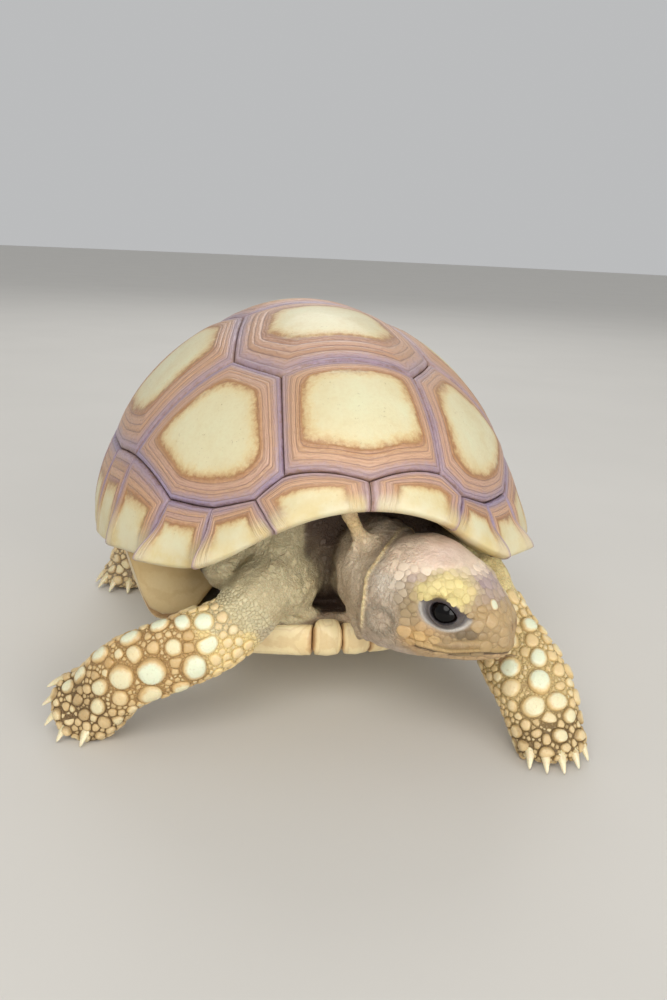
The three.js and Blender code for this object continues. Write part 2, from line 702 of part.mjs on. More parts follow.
const HIND_STEP = 5;
const HIND_LEG_LEFT = {
  stations: HIND_LEG_RIGHT.stations.map(({ at, wide, thick, face }, i) => ({
    at: [-at[0], at[1] - HIND_STEP * (i / 5), at[2]],
    wide,
    thick,
    face: [-face[0], face[1], face[2]],
  })),
  claws: HIND_LEG_RIGHT.claws.map((pair) => pair.map(([side, forward, up]) => (
    [-side, forward - HIND_STEP, up]
  ))),
};

const NECK = [
  { at: [2.4, 19, 11], wide: 6.4, thick: 6.2, face: [0, 0, 1] },
  { at: [4, 25, 11.4], wide: 6.4, thick: 6, face: [0, 0, 1] },
  { at: [4.6, 29, 12.2], wide: 6.8, thick: 6.1, face: [0, 0, 1] },
  { at: [4.9, 32, 12], wide: 6.9, thick: 6.1, face: [0, 0, 1] },
  { at: [5.6, 34.4, 11.4], wide: 6.6, thick: 6.1, face: [0, 0, 1] },
  { at: [7, 36, 11], wide: 5, thick: 5, face: [0, 0, 1] },
];

const TAIL = [
  { at: [0.4, -25, 8], wide: 4.6, thick: 4, face: [1, 0, 0] },
  { at: [1, -30.5, 7], wide: 4, thick: 3.4, face: [1, 0, 0] },
  { at: [1.8, -34.5, 5.2], wide: 2.8, thick: 2.4, face: [1, 0, 0] },
  { at: [2.6, -37.6, 3.6], wide: 1.4, thick: 1.2, face: [1, 0, 0] },
];

// ---- The animal ----

const tortoise = new THREE.Group();

function addNode(name, geometry, colour, roughness = 0.6) {
  const material = new THREE.MeshStandardMaterial({ color: colour, roughness, metalness: 0 });
  const mesh = new THREE.Mesh(geometry, material);
  mesh.name = name;
  tortoise.add(mesh);
}

VERTEBRALS.forEach((names, i) => {
  const left = names.map((name) => corner(name, 1));
  const right = names.map((name) => corner(name, -1)).filter(([u]) => u < 0).reverse();
  addNode(`vertebral_${i + 1}`, backScute([...left, ...right]), COLOURS.areola);
});

for (const [word, hand] of [["left", 1], ["right", -1]]) {
  COSTALS.forEach((names, i) => {
    addNode(`costal_${word}_${i + 1}`, backScute(names.map((name) => corner(name, hand))), COLOURS.areola);
  });
  MARGINAL_TOPS.forEach((names, i) => {
    const jut = (share) => SAW[i] * share ** SAW_POWER;
    const tops = names.map((name) => corner(name, hand));
    const geometry = marginal(tops, hand * RIM_ANGLES[i], hand * RIM_ANGLES[i + 1], jut);
    addNode(`marginal_${word}_${i + 1}`, geometry, COLOURS.rim);
  });
  for (const name of Object.keys(PLASTRAL)) {
    addNode(`${name}_${word}`, plastralScute(name, hand), COLOURS.plastron);
  }
}

{
  const tops = [corner("m11tail", 1), SEAM.rearMiddle, corner("m11tail", -1)];
  const jut = (share) => TAIL_SAW * Math.sin(share * Math.PI);
  addNode("supracaudal", marginal(tops, RIM_ANGLES[11], 2 * Math.PI - RIM_ANGLES[11], jut), COLOURS.rim);
}

const wideTrunk = toSolid(trunkGeometry(GAP));
const wideHead = toSolid(headGeometry(GAP));

function legSolid({ stations, claws }) {
  const limb = standOnGround(tube(refine(stations, 2), 14, [2, 1.2]));
  let solid = toSolid(limb);
  for (const pair of claws) {
    solid = solid.add(toSolid(claw(pair)));
  }
  return solid.subtract(wideTrunk);
}

addNode("trunk", trunkGeometry(0), COLOURS.skin);
const neck = toSolid(tube(refine(NECK, 2), 14, [1, 1])).subtract(wideTrunk).subtract(wideHead);
addNode("neck", toGeometry(neck), COLOURS.skin);
addNode("tail", toGeometry(toSolid(tube(refine(TAIL, 2), 12, [1, 0.8])).subtract(wideTrunk)), COLOURS.skin);
addNode("front_leg_right", toGeometry(legSolid(FRONT_LEG_RIGHT)), COLOURS.limb);
addNode("front_leg_left", toGeometry(legSolid(FRONT_LEG_LEFT)), COLOURS.limb);
addNode("hind_leg_right", toGeometry(legSolid(HIND_LEG_RIGHT)), COLOURS.limb);
addNode("hind_leg_left", toGeometry(legSolid(HIND_LEG_LEFT)), COLOURS.limb);

const wholeHead = toSolid(headGeometry(0))
  .subtract(toSolid(eyeGeometry(1, GAP)))
  .subtract(toSolid(eyeGeometry(-1, GAP)));
addNode("head", toGeometry(wholeHead.subtract(jawRegion(GAP))), COLOURS.head);
addNode("lower_jaw", toGeometry(wholeHead.intersect(jawRegion(0))), COLOURS.jaw);
addNode("eye_left", toGeometry(toSolid(eyeGeometry(1, 0))), COLOURS.eye, 0.15);
addNode("eye_right", toGeometry(toSolid(eyeGeometry(-1, 0))), COLOURS.eye, 0.15);

// The origin goes to the ground under the middle of the whole animal.
const extent = new THREE.Box3().setFromObject(tortoise);
const middle = extent.getCenter(new THREE.Vector3());
tortoise.position.set(-middle.x, -middle.y, -extent.min.z);

export default tortoise;
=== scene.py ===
import math

import bmesh
import bpy
import numpy as np
from mathutils import Matrix, Vector
from mathutils.bvhtree import BVHTree


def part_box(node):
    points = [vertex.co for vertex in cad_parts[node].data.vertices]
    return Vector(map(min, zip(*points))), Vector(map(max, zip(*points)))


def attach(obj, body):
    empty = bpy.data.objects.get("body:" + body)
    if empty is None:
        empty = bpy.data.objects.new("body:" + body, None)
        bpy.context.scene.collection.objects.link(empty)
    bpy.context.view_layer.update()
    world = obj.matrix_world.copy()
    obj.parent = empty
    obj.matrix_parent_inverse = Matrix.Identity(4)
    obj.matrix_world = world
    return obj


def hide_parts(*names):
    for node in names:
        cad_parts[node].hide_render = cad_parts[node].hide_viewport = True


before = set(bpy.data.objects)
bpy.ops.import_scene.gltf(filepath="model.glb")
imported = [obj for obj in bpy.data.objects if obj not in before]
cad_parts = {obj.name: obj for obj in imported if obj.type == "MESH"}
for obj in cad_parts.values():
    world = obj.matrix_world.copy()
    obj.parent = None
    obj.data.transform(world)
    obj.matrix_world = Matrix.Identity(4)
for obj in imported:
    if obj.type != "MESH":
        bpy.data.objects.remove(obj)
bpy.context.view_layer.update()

# ---- Body coordinates: millimetres, (side to the animal's left, forward, up from the plastron) ----

MM = 0.001
ABDOMINAL_FRONT = 10.2
abdominal_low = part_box("abdominal_left")[0]
tail_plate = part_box("supracaudal")
ORIGIN = np.array([
    (tail_plate[0].x + tail_plate[1].x) / 2,
    abdominal_low.y + ABDOMINAL_FRONT * MM,
    abdominal_low.z,
])
GROUND = -abdominal_low.z / MM


def body(side, forward, up):
    """A point, or an array of points, in row directions but still in millimetres from the body's origin."""
    parts = np.broadcast_arrays(np.asarray(side, float), -np.asarray(forward, float), np.asarray(up, float))
    return np.stack(parts, -1)


def to_row(points):
    return np.asarray(points) * MM + ORIGIN


def mix(a, b, share):
    return a + (b - a) * share


def smooth(value):
    value = np.clip(value, 0, 1)
    return value * value * (3 - 2 * value)


def signed_power(value, exponent):
    return np.sign(value) * np.abs(value) ** exponent


def unit(vectors):
    return vectors / np.maximum(np.linalg.norm(vectors, axis=-1, keepdims=True), 1e-9)


# ---- Meshes ----

def add_mesh(name, points, quads, tris, material, values=None):
    """A closed mesh from points in body millimetres, with float values stored on its points."""
    points = to_row(points)
    quads = np.asarray(quads, int).reshape(-1, 4)
    tris = np.asarray(tris, int).reshape(-1, 3)
    corners = np.concatenate([quads[:, :3], quads[:, [0, 2, 3]], tris])
    a, b, c = (points[corners[:, k]] - points.mean(0) for k in range(3))
    if np.einsum("ij,ij->i", np.cross(a, b), c).sum() < 0:
        quads, tris = quads[:, ::-1], tris[:, ::-1]
    loops = np.concatenate([quads.ravel(), tris.ravel()])
    starts = np.concatenate([np.arange(len(quads)) * 4, len(quads) * 4 + np.arange(len(tris)) * 3])
    mesh = bpy.data.meshes.new(name)
    mesh.vertices.add(len(points))
    mesh.vertices.foreach_set("co", points.astype(np.float32).ravel())
    mesh.loops.add(len(loops))
    mesh.loops.foreach_set("vertex_index", loops.astype(np.int32))
    mesh.polygons.add(len(starts))
    mesh.polygons.foreach_set("loop_start", starts.astype(np.int32))
    mesh.update(calc_edges=True)
    mesh.polygons.foreach_set("use_smooth", np.ones(len(starts), bool))
    for key, value in (values or {}).items():
        attribute = mesh.attributes.new(key, "FLOAT", "POINT")
        attribute.data.foreach_set("value", np.broadcast_to(value, len(points)).astype(np.float32))
    mesh.materials.append(material)
    piece = bpy.data.objects.new(name, mesh)
    bpy.context.scene.collection.objects.link(piece)
    return piece


def place(piece, slot, *nodes):
    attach(piece, "root")
    if nodes:
        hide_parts(*nodes)
    return piece


def tube_faces(rings, count, start=0):
    """Quads between rings of count points each."""
    ring, i = np.meshgrid(np.arange(rings - 1), np.arange(count), indexing="ij")
    j = (i + 1) % count
    quads = np.stack([ring * count + i, ring * count + j, (ring + 1) * count + j, (ring + 1) * count + i], -1)
    return quads.reshape(-1, 4) + start


def fan_faces(pole, ring_start, count):
    i = np.arange(count)
    return np.stack([np.full(count, pole), ring_start + i, ring_start + (i + 1) % count], -1)


def cap_faces(rings, sides):
    """Both ends of a tube. The two poles follow its rings: the start's, then the end's."""
    last = rings * sides
    return np.concatenate([fan_faces(last, 0, sides)[:, ::-1], fan_faces(last + 1, last - sides, sides)])


def circle(count):
    """Angles of points evenly round a circle."""
    return np.arange(count) / count * 2 * math.pi


def lengths_along(line):
    """Distance from the start of a line to each of its points."""
    return np.concatenate([[0], np.cumsum(np.linalg.norm(np.diff(line, axis=0), axis=-1))])


def follow(line, lengths, at):
    """Points at given distances along a flat line."""
    return np.stack([np.interp(at, lengths, line[:, k]) for k in (0, 1)], -1)


# ---- Materials ----

def linear(code):
    """Linear colour of a hexadecimal sRGB code."""
    values = [int(code[k:k + 2], 16) / 255 for k in (0, 2, 4)]
    return tuple(v / 12.92 if v <= 0.04045 else ((v + 0.055) / 1.055) ** 2.4 for v in values) + (1,)


class Shader:
    """A material whose nodes are added one by one."""

    def __init__(self, name, roughness, **uniform):
        self.material = bpy.data.materials.new(name)
        self.material.use_nodes = True
        self.tree = self.material.node_tree
        self.surface = self.tree.nodes["Principled BSDF"]
        self.surface.inputs["Roughness"].default_value = roughness
        for key, value in uniform.items():
            self.surface.inputs[key.replace("_", " ")].default_value = value

    def plug(self, socket, value):
        if isinstance(value, bpy.types.NodeSocket):
            self.tree.links.new(value, socket)
        elif isinstance(value, str):
            socket.default_value = linear(value)
        else:
            socket.default_value = value

    def node(self, kind, output=0, settings=None, **inputs):
        made = self.tree.nodes.new(kind)
        for key, value in (settings or {}).items():
            setattr(made, key, value)
        for key, value in inputs.items():
            key = int(key[1:]) if key[0] == "_" and key[1:].isdigit() else key.replace("_", " ")
            self.plug(made.inputs[key], value)
        return made.outputs[output]

    def value(self, name):
        return self.node("ShaderNodeAttribute", "Fac", {"attribute_name": name})

    def place(self):
        """The place on the object, in millimetres."""
        at = self.node("ShaderNodeTexCoord", "Object")
        return self.node("ShaderNodeMapping", Vector=at, Scale=(1 / MM,) * 3)

    def noise(self, scale, detail=3, roughness=0.55):
        return self.node("ShaderNodeTexNoise", "Fac", Vector=self.place(), Scale=scale, Detail=detail,
                         Roughness=roughness, Distortion=0)

    def cells(self, scale, feature):
        return self.node("ShaderNodeTexVoronoi", "Distance", {"feature": feature}, Vector=self.place(),
                         Scale=scale)

    def math(self, operation, a, b=0.0, c=0.0):
        return self.node("ShaderNodeMath", 0, {"operation": operation}, _0=a, _1=b, _2=c)

    def times(self, a, b):
        return self.math("MULTIPLY", a, b)

    def around(self, pattern, amount, value):
        """The value, moved up and down by a pattern."""
        return self.math("MULTIPLY_ADD", self.math("SUBTRACT", pattern, 0.5), amount, value)

    def rest(self, value):
        return self.math("SUBTRACT", 1.0, value)

    def span(self, value, low, high, to_low=0.0, to_high=1.0, smoothly=True):
        kind = "SMOOTHSTEP" if smoothly else "LINEAR"
        return self.node("ShaderNodeMapRange", 0, {"interpolation_type": kind}, Value=value, From_Min=low,
                         From_Max=high, To_Min=to_low, To_Max=to_high)

    def ramp(self, value, stops):
        made = self.tree.nodes.new("ShaderNodeValToRGB")
        band = made.color_ramp
        while len(band.elements) < len(stops):
            band.elements.new(0.5)
        for element, (position, code) in zip(band.elements, stops):
            element.position = position
            element.color = linear(code)
        self.plug(made.inputs["Fac"], value)
        return made.outputs["Color"]

    def blend(self, share, a, b, kind="MIX"):
        made = self.tree.nodes.new("ShaderNodeMix")
        made.data_type = "RGBA"
        made.blend_type = kind
        self.plug(made.inputs[0], share)
        self.plug(made.inputs[6], a)
        self.plug(made.inputs[7], b)
        return made.outputs[2]

    def finish(self, colour, height=None, depth=0.1, roughness=None):
        """depth is how many millimetres of relief one unit of height stands for."""
        self.plug(self.surface.inputs["Base Color"], colour)
        if height is not None:
            bump = self.node("ShaderNodeBump", 0, Height=height, Distance=depth * MM)
            self.plug(self.surface.inputs["Normal"], bump)
        if roughness is not None:
            self.plug(self.surface.inputs["Roughness"], roughness)
        return self.material


def horn_material():
    """Horn of the scutes: growth is 0 at the seam, 1 where the smooth centre starts and 2 in its middle."""
    s = Shader("ringed_horn", 0.42, Subsurface_Weight=0.08, Subsurface_Scale=0.0008, Coat_Weight=0.1,
               Subsurface_Radius=(1, 0.6, 0.35))
    growth, band, groove = s.value("growth"), s.value("band"), s.value("groove")
    wander = s.noise(0.28, 3)
    shifted = s.around(wander, 0.26, growth)
    grainy = s.noise(1.5, 4, 0.7)
    shifted = s.around(grainy, 0.3, shifted)
    base = s.ramp(s.times(shifted, 0.5), [
        (0.0, "5c4c62"), (0.02, "776a8c"), (0.055, "8f84a6"), (0.105, "a08fa4"), (0.155, "ad8e8e"),
        (0.21, "bd967f"), (0.3, "c99f83"), (0.37, "c89f80"), (0.42, "b2825b"), (0.465, "95653c"),
        (0.495, "a67a50"), (0.53, "c8aa7c"), (0.58, "d6c699"), (0.64, "d7cea8"), (1.0, "d6d1ad"),
    ])
    in_rings = s.rest(s.span(shifted, 0.88, 1.0))
    tone = s.ramp(band, [
        (0.0, "96809a"), (0.3, "ad8c80"), (0.55, "cca283"), (0.8, "b0855f"), (1.0, "875f4c"),
    ])
    base = s.blend(s.times(in_rings, 0.3), base, tone)
    along = s.noise(0.5, 2)
    fine = s.math("SINE", s.math("MULTIPLY_ADD", growth, 62.0, s.times(along, 16.0)))
    broken = s.span(s.noise(0.9, 2), 0.3, 0.62)
    lines = s.times(s.times(in_rings, broken), s.span(fine, 0.1, 1.0, 0.0, 0.36))
    base = s.blend(lines, base, "7f6157")
    deep = s.math("POWER", groove, 3.0)
    base = s.blend(s.times(in_rings, s.times(deep, 0.7)), base, "5d4650")
    grain = s.noise(2.2, 5, 0.7)
    stain = s.noise(0.22, 4, 0.6)
    centre = s.rest(in_rings)
    base = s.blend(s.span(grain, 0.35, 0.75, 0.0, 0.16), base, "bfa676")
    base = s.blend(s.times(centre, s.span(stain, 0.45, 0.75, 0.0, 0.3)), base, "c4ab74")
    base = s.blend(s.times(centre, s.span(stain, 0.48, 0.25, 0.0, 0.35)), base, "d6dab8")
    speck = s.span(s.noise(2.9, 3, 0.55), 0.62, 0.7)
    patchy = s.span(s.noise(0.4, 2), 0.45, 0.7)
    base = s.blend(s.times(s.times(speck, patchy), 0.5), base, "8b7350")
    tan = s.span(s.noise(0.05, 2), 0.42, 0.62, 0.0, 0.5)
    base = s.blend(s.times(in_rings, tan), base, s.blend(0.5, base, "c49f7c"))
    lip = s.times(s.value("lip"), s.span(growth, 0.04, 0.35))
    rim = s.blend(s.span(stain, 0.35, 0.65), "d3caa9", "cdba84")
    base = s.blend(s.times(lip, 0.8), base, rim)
    height = s.math("ADD", s.times(grain, 0.3), s.times(s.times(fine, in_rings), 0.14))
    return s.finish(base, height, 0.12, s.span(grain, 0.2, 0.8, 0.36, 0.52))


HORN = horn_material()

# ---- Dome of the carapace ----

HALF_LENGTH = 40
HALF_WIDTH = 32
DOME_HEIGHT = 44
PLATE = 1.8
PLATE_CROWN = 0.7
DOME_POWER = 1.83
DOME_POWER_FRONT = 0.21
PLAN_POWER = 0.95
EGG = 0.02
RIM_SIDE = 11.4
RIM_FRONT_RISE = 12.7
RIM_FRONT_POWER = 2.43
RIM_REAR_RISE = 1.9
RIM_DIP = 4
RIM_DIP_ANGLE = 0.6
RIM_DIP_SPREAD = 0.3
RIM_FLARE = 0.048
RIM_LIP = 0.7
RIM_ROUND = 0.8
FLANGE = 3
SEAM_GAP = 0.06


def rim_height(angle):
    front = np.maximum(np.cos(angle), 0)
    rear = np.maximum(-np.cos(angle), 0)
    dip = ((np.abs(angle) - RIM_DIP_ANGLE) / RIM_DIP_SPREAD) ** 2
    return (RIM_SIDE + RIM_FRONT_RISE * front ** RIM_FRONT_POWER + RIM_REAR_RISE * rear ** 2
            - RIM_DIP * np.exp(-dip))


def dome(angle, reach):
    """angle is 0 at the front and grows to the left; reach is 0 at the top and 1 at the rim."""
    exponent = 2 / (DOME_POWER + DOME_POWER_FRONT * np.maximum(np.cos(angle), 0) ** 2)
    spread = np.sin(reach * math.pi / 2) ** exponent
    fall = np.maximum(np.cos(reach * math.pi / 2), 0) ** exponent
    flare = 1 + RIM_FLARE * np.clip((reach - 0.75) / 0.25, 0, 1) ** 2 * np.clip(np.cos(angle) + 0.2, 0, 1)
    side = HALF_WIDTH * signed_power(np.sin(angle), PLAN_POWER) * (1 - EGG * np.cos(angle))
    forward = HALF_LENGTH * signed_power(np.cos(angle), PLAN_POWER)
    rim = rim_height(angle)
    return body(side * spread * flare, forward * spread * flare, rim + (DOME_HEIGHT - rim) * fall)


def on_disc(place_on_disc):
    u, v = place_on_disc[..., 0], place_on_disc[..., 1]
    return dome(np.arctan2(u, v), np.minimum(np.hypot(u, v), 1))


def disc_point(angle, reach):
    return np.stack([np.sin(angle) * reach, np.cos(angle) * reach], -1)


def disc_normal(place_on_disc):
    step = 0.004
    across, along = np.array([step, 0]), np.array([0, step])
    a = on_disc(place_on_disc + across) - on_disc(place_on_disc - across)
    b = on_disc(place_on_disc + along) - on_disc(place_on_disc - along)
    return -unit(np.cross(a, b))


def polar(angle, reach):
    return (math.sin(angle) * reach, math.cos(angle) * reach)


# Where the corners of the scutes meet on a flat disc (left, forward), for the left side. Eight of them, and
# the shape of the dome above, are the result of a least-squares fit; the others are given.
SEAM = {
    "frontMiddle": (0, 0.916), "v1v2": (0.183, 0.478), "v2c1c2": (0.293, 0.314), "v2v3": (0.233, 0.035),
    "v3c2c3": (0.3, -0.13), "v3v4": (0.225, -0.34), "v4c3c4": (0.275, -0.47), "v4v5": (0.16, -0.62),
    "v1c1": polar(0.296, 0.849), "m1m2": polar(0.4, 0.884), "m2m3": polar(0.576, 0.859),
    "m3m4": polar(0.794, 0.837), "m4m5": polar(1.125, 0.745), "m5m6": polar(1.36, 0.742),
    "m6m7": polar(1.6, 0.745), "c2c3": polar(1.72, 0.738), "m7m8": polar(1.86, 0.75),
    "m8m9": polar(2.12, 0.768), "c3c4": polar(2.28, 0.772), "m9m10": polar(2.4, 0.79),
    "m10m11": polar(2.65, 0.83), "v5c4": polar(2.74, 0.836), "m11tail": polar(2.9, 0.85),
    "rearMiddle": (0, -0.872),
}
VERTEBRALS = [
    ["frontMiddle", "v1c1", "v1v2"], ["v1v2", "v2c1c2", "v2v3"], ["v2v3", "v3c2c3", "v3v4"],
    ["v3v4", "v4c3c4", "v4v5"], ["v4v5", "v5c4", "m11tail", "rearMiddle"],
]
COSTALS = [
    ["v1v2", "v1c1", "m1m2", "m2m3", "m3m4", "m4m5", "v2c1c2"],
    ["v2c1c2", "m4m5", "m5m6", "m6m7", "c2c3", "v3c2c3", "v2v3"],
    ["v3c2c3", "c2c3", "m7m8", "m8m9", "c3c4", "v4c3c4", "v3v4"],
    ["v4c3c4", "c3c4", "m9m10", "m10m11", "v5c4", "v4v5"],
]
RIM_ANGLES = [0, 0.314, 0.585, 0.857, 1.123, 1.35, 1.6, 1.86, 2.12, 2.38, 2.64, 2.9]
MARGINAL_TOPS = [
    ["frontMiddle", "v1c1", "m1m2"], ["m1m2", "m2m3"], ["m2m3", "m3m4"], ["m3m4", "m4m5"], ["m4m5", "m5m6"],
    ["m5m6", "m6m7"], ["m6m7", "c2c3", "m7m8"], ["m7m8", "m8m9"], ["m8m9", "c3c4", "m9m10"],
    ["m9m10", "m10m11"], ["m10m11", "v5c4", "m11tail"],
]
SAW = [1.3, 2.2, 2.2, 1, 0.3, 0.2, 0.3, 0.7, 1, 1.1, 0.9]
SAW_POWER = 2.2
TAIL_SAW = 0.4


def corner(name, hand):
    u, v = SEAM[name]
    return (u * hand, v)


SIDES = (("left", 1), ("right", -1))

# ---- Growth rings ----

def ring_edges(rng, count):
    """Where one ring ends and the next starts, from 0 at the seam to 1 at the smooth centre."""
    widths = rng.uniform(0.7, 1.5, count)
    return np.concatenate([[0], np.cumsum(widths) / widths.sum()])


RING_STEPS = np.array([0, 0.1, 0.25, 0.5, 0.75, 0.9])


def ring_lines(edges):
    """Values of growth at which the mesh has a line, so that each ring has its own rounded section."""
    lines = [mix(low, high, RING_STEPS) for low, high in zip(edges[:-1], edges[1:])]
    return np.concatenate(lines + [[1.0]])


def ring_section(growth, edges, tones, heights):
    """Relief in millimetres, tone, and how deep in a groove a point is."""
    index = np.clip(np.searchsorted(edges, growth, side="right") - 1, 0, len(edges) - 2)
    local = (growth - edges[index]) / (edges[index + 1] - edges[index])
    bead = 1 - np.abs(2 * np.clip(local, 0, 1) - 1) ** 2.6
    inside = growth > 1
    relief = np.where(inside, 0.0, heights[index] * bead)
    groove = np.where(inside, 0.0, 1 - bead)
    return relief, np.where(inside, 0.5, tones[index]), groove


def lift_profile(growth, crown):
    """Height of the plate over its rim: a rounded edge, rings that climb, a step, and a domed centre."""
    ringed = np.clip(growth, 0, 1)
    centre = np.clip(growth - 1, 0, 1)
    edge = -0.24 * (1 - smooth(ringed / 0.06))
    step = 0.07 * smooth((growth - 0.985) / 0.05)
    return edge + crown * (0.72 * ringed ** 0.8 + 0.28 * (1 - (1 - centre) ** 2)) + step


BACK_STEP = 0.38
CENTRE_LINES = np.array([0.03, 0.08, 0.16, 0.27, 0.4, 0.54, 0.68, 0.8, 0.9, 0.96])


def back_scute(name, corners, slide, areola_size, seed, crown=PLATE_CROWN, rings=5):
    """A vertebral or costal: rings round a smooth centre that has slid from the middle of the plate."""
    rng = np.random.default_rng(seed)
    corners = np.array(corners, float)
    outline = []
    for start, end in zip(corners, np.roll(corners, -1, 0)):
        length = np.linalg.norm(on_disc(start) - on_disc(end))
        steps = max(2, round(length / BACK_STEP))
        outline.append(mix(start, end, (np.arange(steps) / steps)[:, None]))
    outline = np.concatenate(outline)
    count = len(outline)
    middle = outline.mean(0)
    centre = middle + slide

    window = np.hanning(2 * (count // 14) + 1)
    spread = np.zeros(count)
    spread[:len(window)] = window / window.sum()
    spread = np.roll(spread, -(len(window) // 2))
    window_waves = np.conj(np.fft.fft(spread))
    rounded = np.stack([np.real(np.fft.ifft(np.fft.fft(outline[:, k]) * window_waves)) for k in (0, 1)], -1)
    turn = circle(count)
    wobble = sum(rng.normal(0, 0.012 / k) * np.cos(k * turn + rng.uniform(0, 6)) for k in range(2, 7))
    areola = centre + (rounded - middle) * np.array(areola_size) * (1 + wobble)[:, None]

    edges = ring_edges(rng, rings)
    tones, heights = rng.uniform(0, 1, rings), rng.uniform(0.06, 0.12, rings)
    reach = np.linalg.norm(on_disc(outline) - on_disc(middle), axis=-1)
    inset = mix(middle, outline, (1 - 0.5 * SEAM_GAP / reach)[:, None])
    growth = np.concatenate([ring_lines(edges), 1 + CENTRE_LINES])
    loops = [mix(inset, areola, min(g, 1)) if g <= 1 else mix(centre, areola, 2 - g) for g in growth]
    relief, tone, groove = ring_section(growth, edges, tones, heights)
    lift = lift_profile(growth, crown) + relief
    flat = np.stack(loops)
    shell = on_disc(flat) + disc_normal(flat) * lift[:, None, None]
    wall = on_disc(inset) + disc_normal(inset) * -PLATE
    under = mix(middle, outline, 0.5)
    under = on_disc(under) + disc_normal(under) * -PLATE
    points = np.concatenate([
        under.reshape(-1, 3), wall.reshape(-1, 3), shell.reshape(-1, 3),
        [on_disc(centre) + disc_normal(centre) * lift_profile(np.array(2.0), crown)],
        [on_disc(middle) + disc_normal(middle) * -PLATE],
    ])
    rows = len(growth) + 2
    pole = rows * count
    tris = np.concatenate([fan_faces(pole, pole - count, count), fan_faces(pole + 1, 0, count)[:, ::-1]])

    def spread_out(per_loop, middle_value, low):
        return np.concatenate([np.full(2 * count, low), np.repeat(per_loop, count), [middle_value], [low]])

    values = {
        "growth": spread_out(growth, 2.0, 0.0),
        "band": spread_out(tone, tone[-1], 0.3),
        "groove": spread_out(groove, groove[-1], 1.0),
    }
    piece = add_mesh("scute_" + name, points, tube_faces(rows, count), tris, HORN, values)
    return place(piece, "carapace", name)


AREOLA = {"vertebral": [((0, -0.012), (0.71, 0.67)), ((0, -0.01), (0.6, 0.52)), ((0, -0.01), (0.58, 0.52)),
                        ((0, -0.01), (0.58, 0.54)), ((0, 0.02), (0.6, 0.58))],
          "costal": [((-0.01, 0.0), (0.66, 0.66)), ((-0.02, -0.005), (0.64, 0.6)),
                     ((-0.02, -0.005), (0.62, 0.58)), ((-0.015, 0.01), (0.6, 0.58))]}

for i, names in enumerate(VERTEBRALS):
    left = [corner(name, 1) for name in names]
    right = [corner(name, -1) for name in names if SEAM[name][0] > 0][::-1]
    slide, size = AREOLA["vertebral"][i]
    back_scute(f"vertebral_{i + 1}", left + right, np.array(slide), size, 11 + i)
for word, hand in SIDES:
    for i, names in enumerate(COSTALS):
        slide, size = AREOLA["costal"][i]
        back_scute(f"costal_{word}_{i + 1}", [corner(name, hand) for name in names],
                   np.array(slide) * [hand, 1], size, 31 + i + 7 * hand)

# ---- Marginals, which turn under at the rim ----

UNDER_LINES = np.array([0.25, 0.5, 0.75, 1.0])
LIP_LINES = np.array([0.2, 0.4, 0.6, 0.8, 1.0])
# Normals of the dome are taken no nearer to the rim than this, where it turns steep.
NORMAL_REACH = 0.985


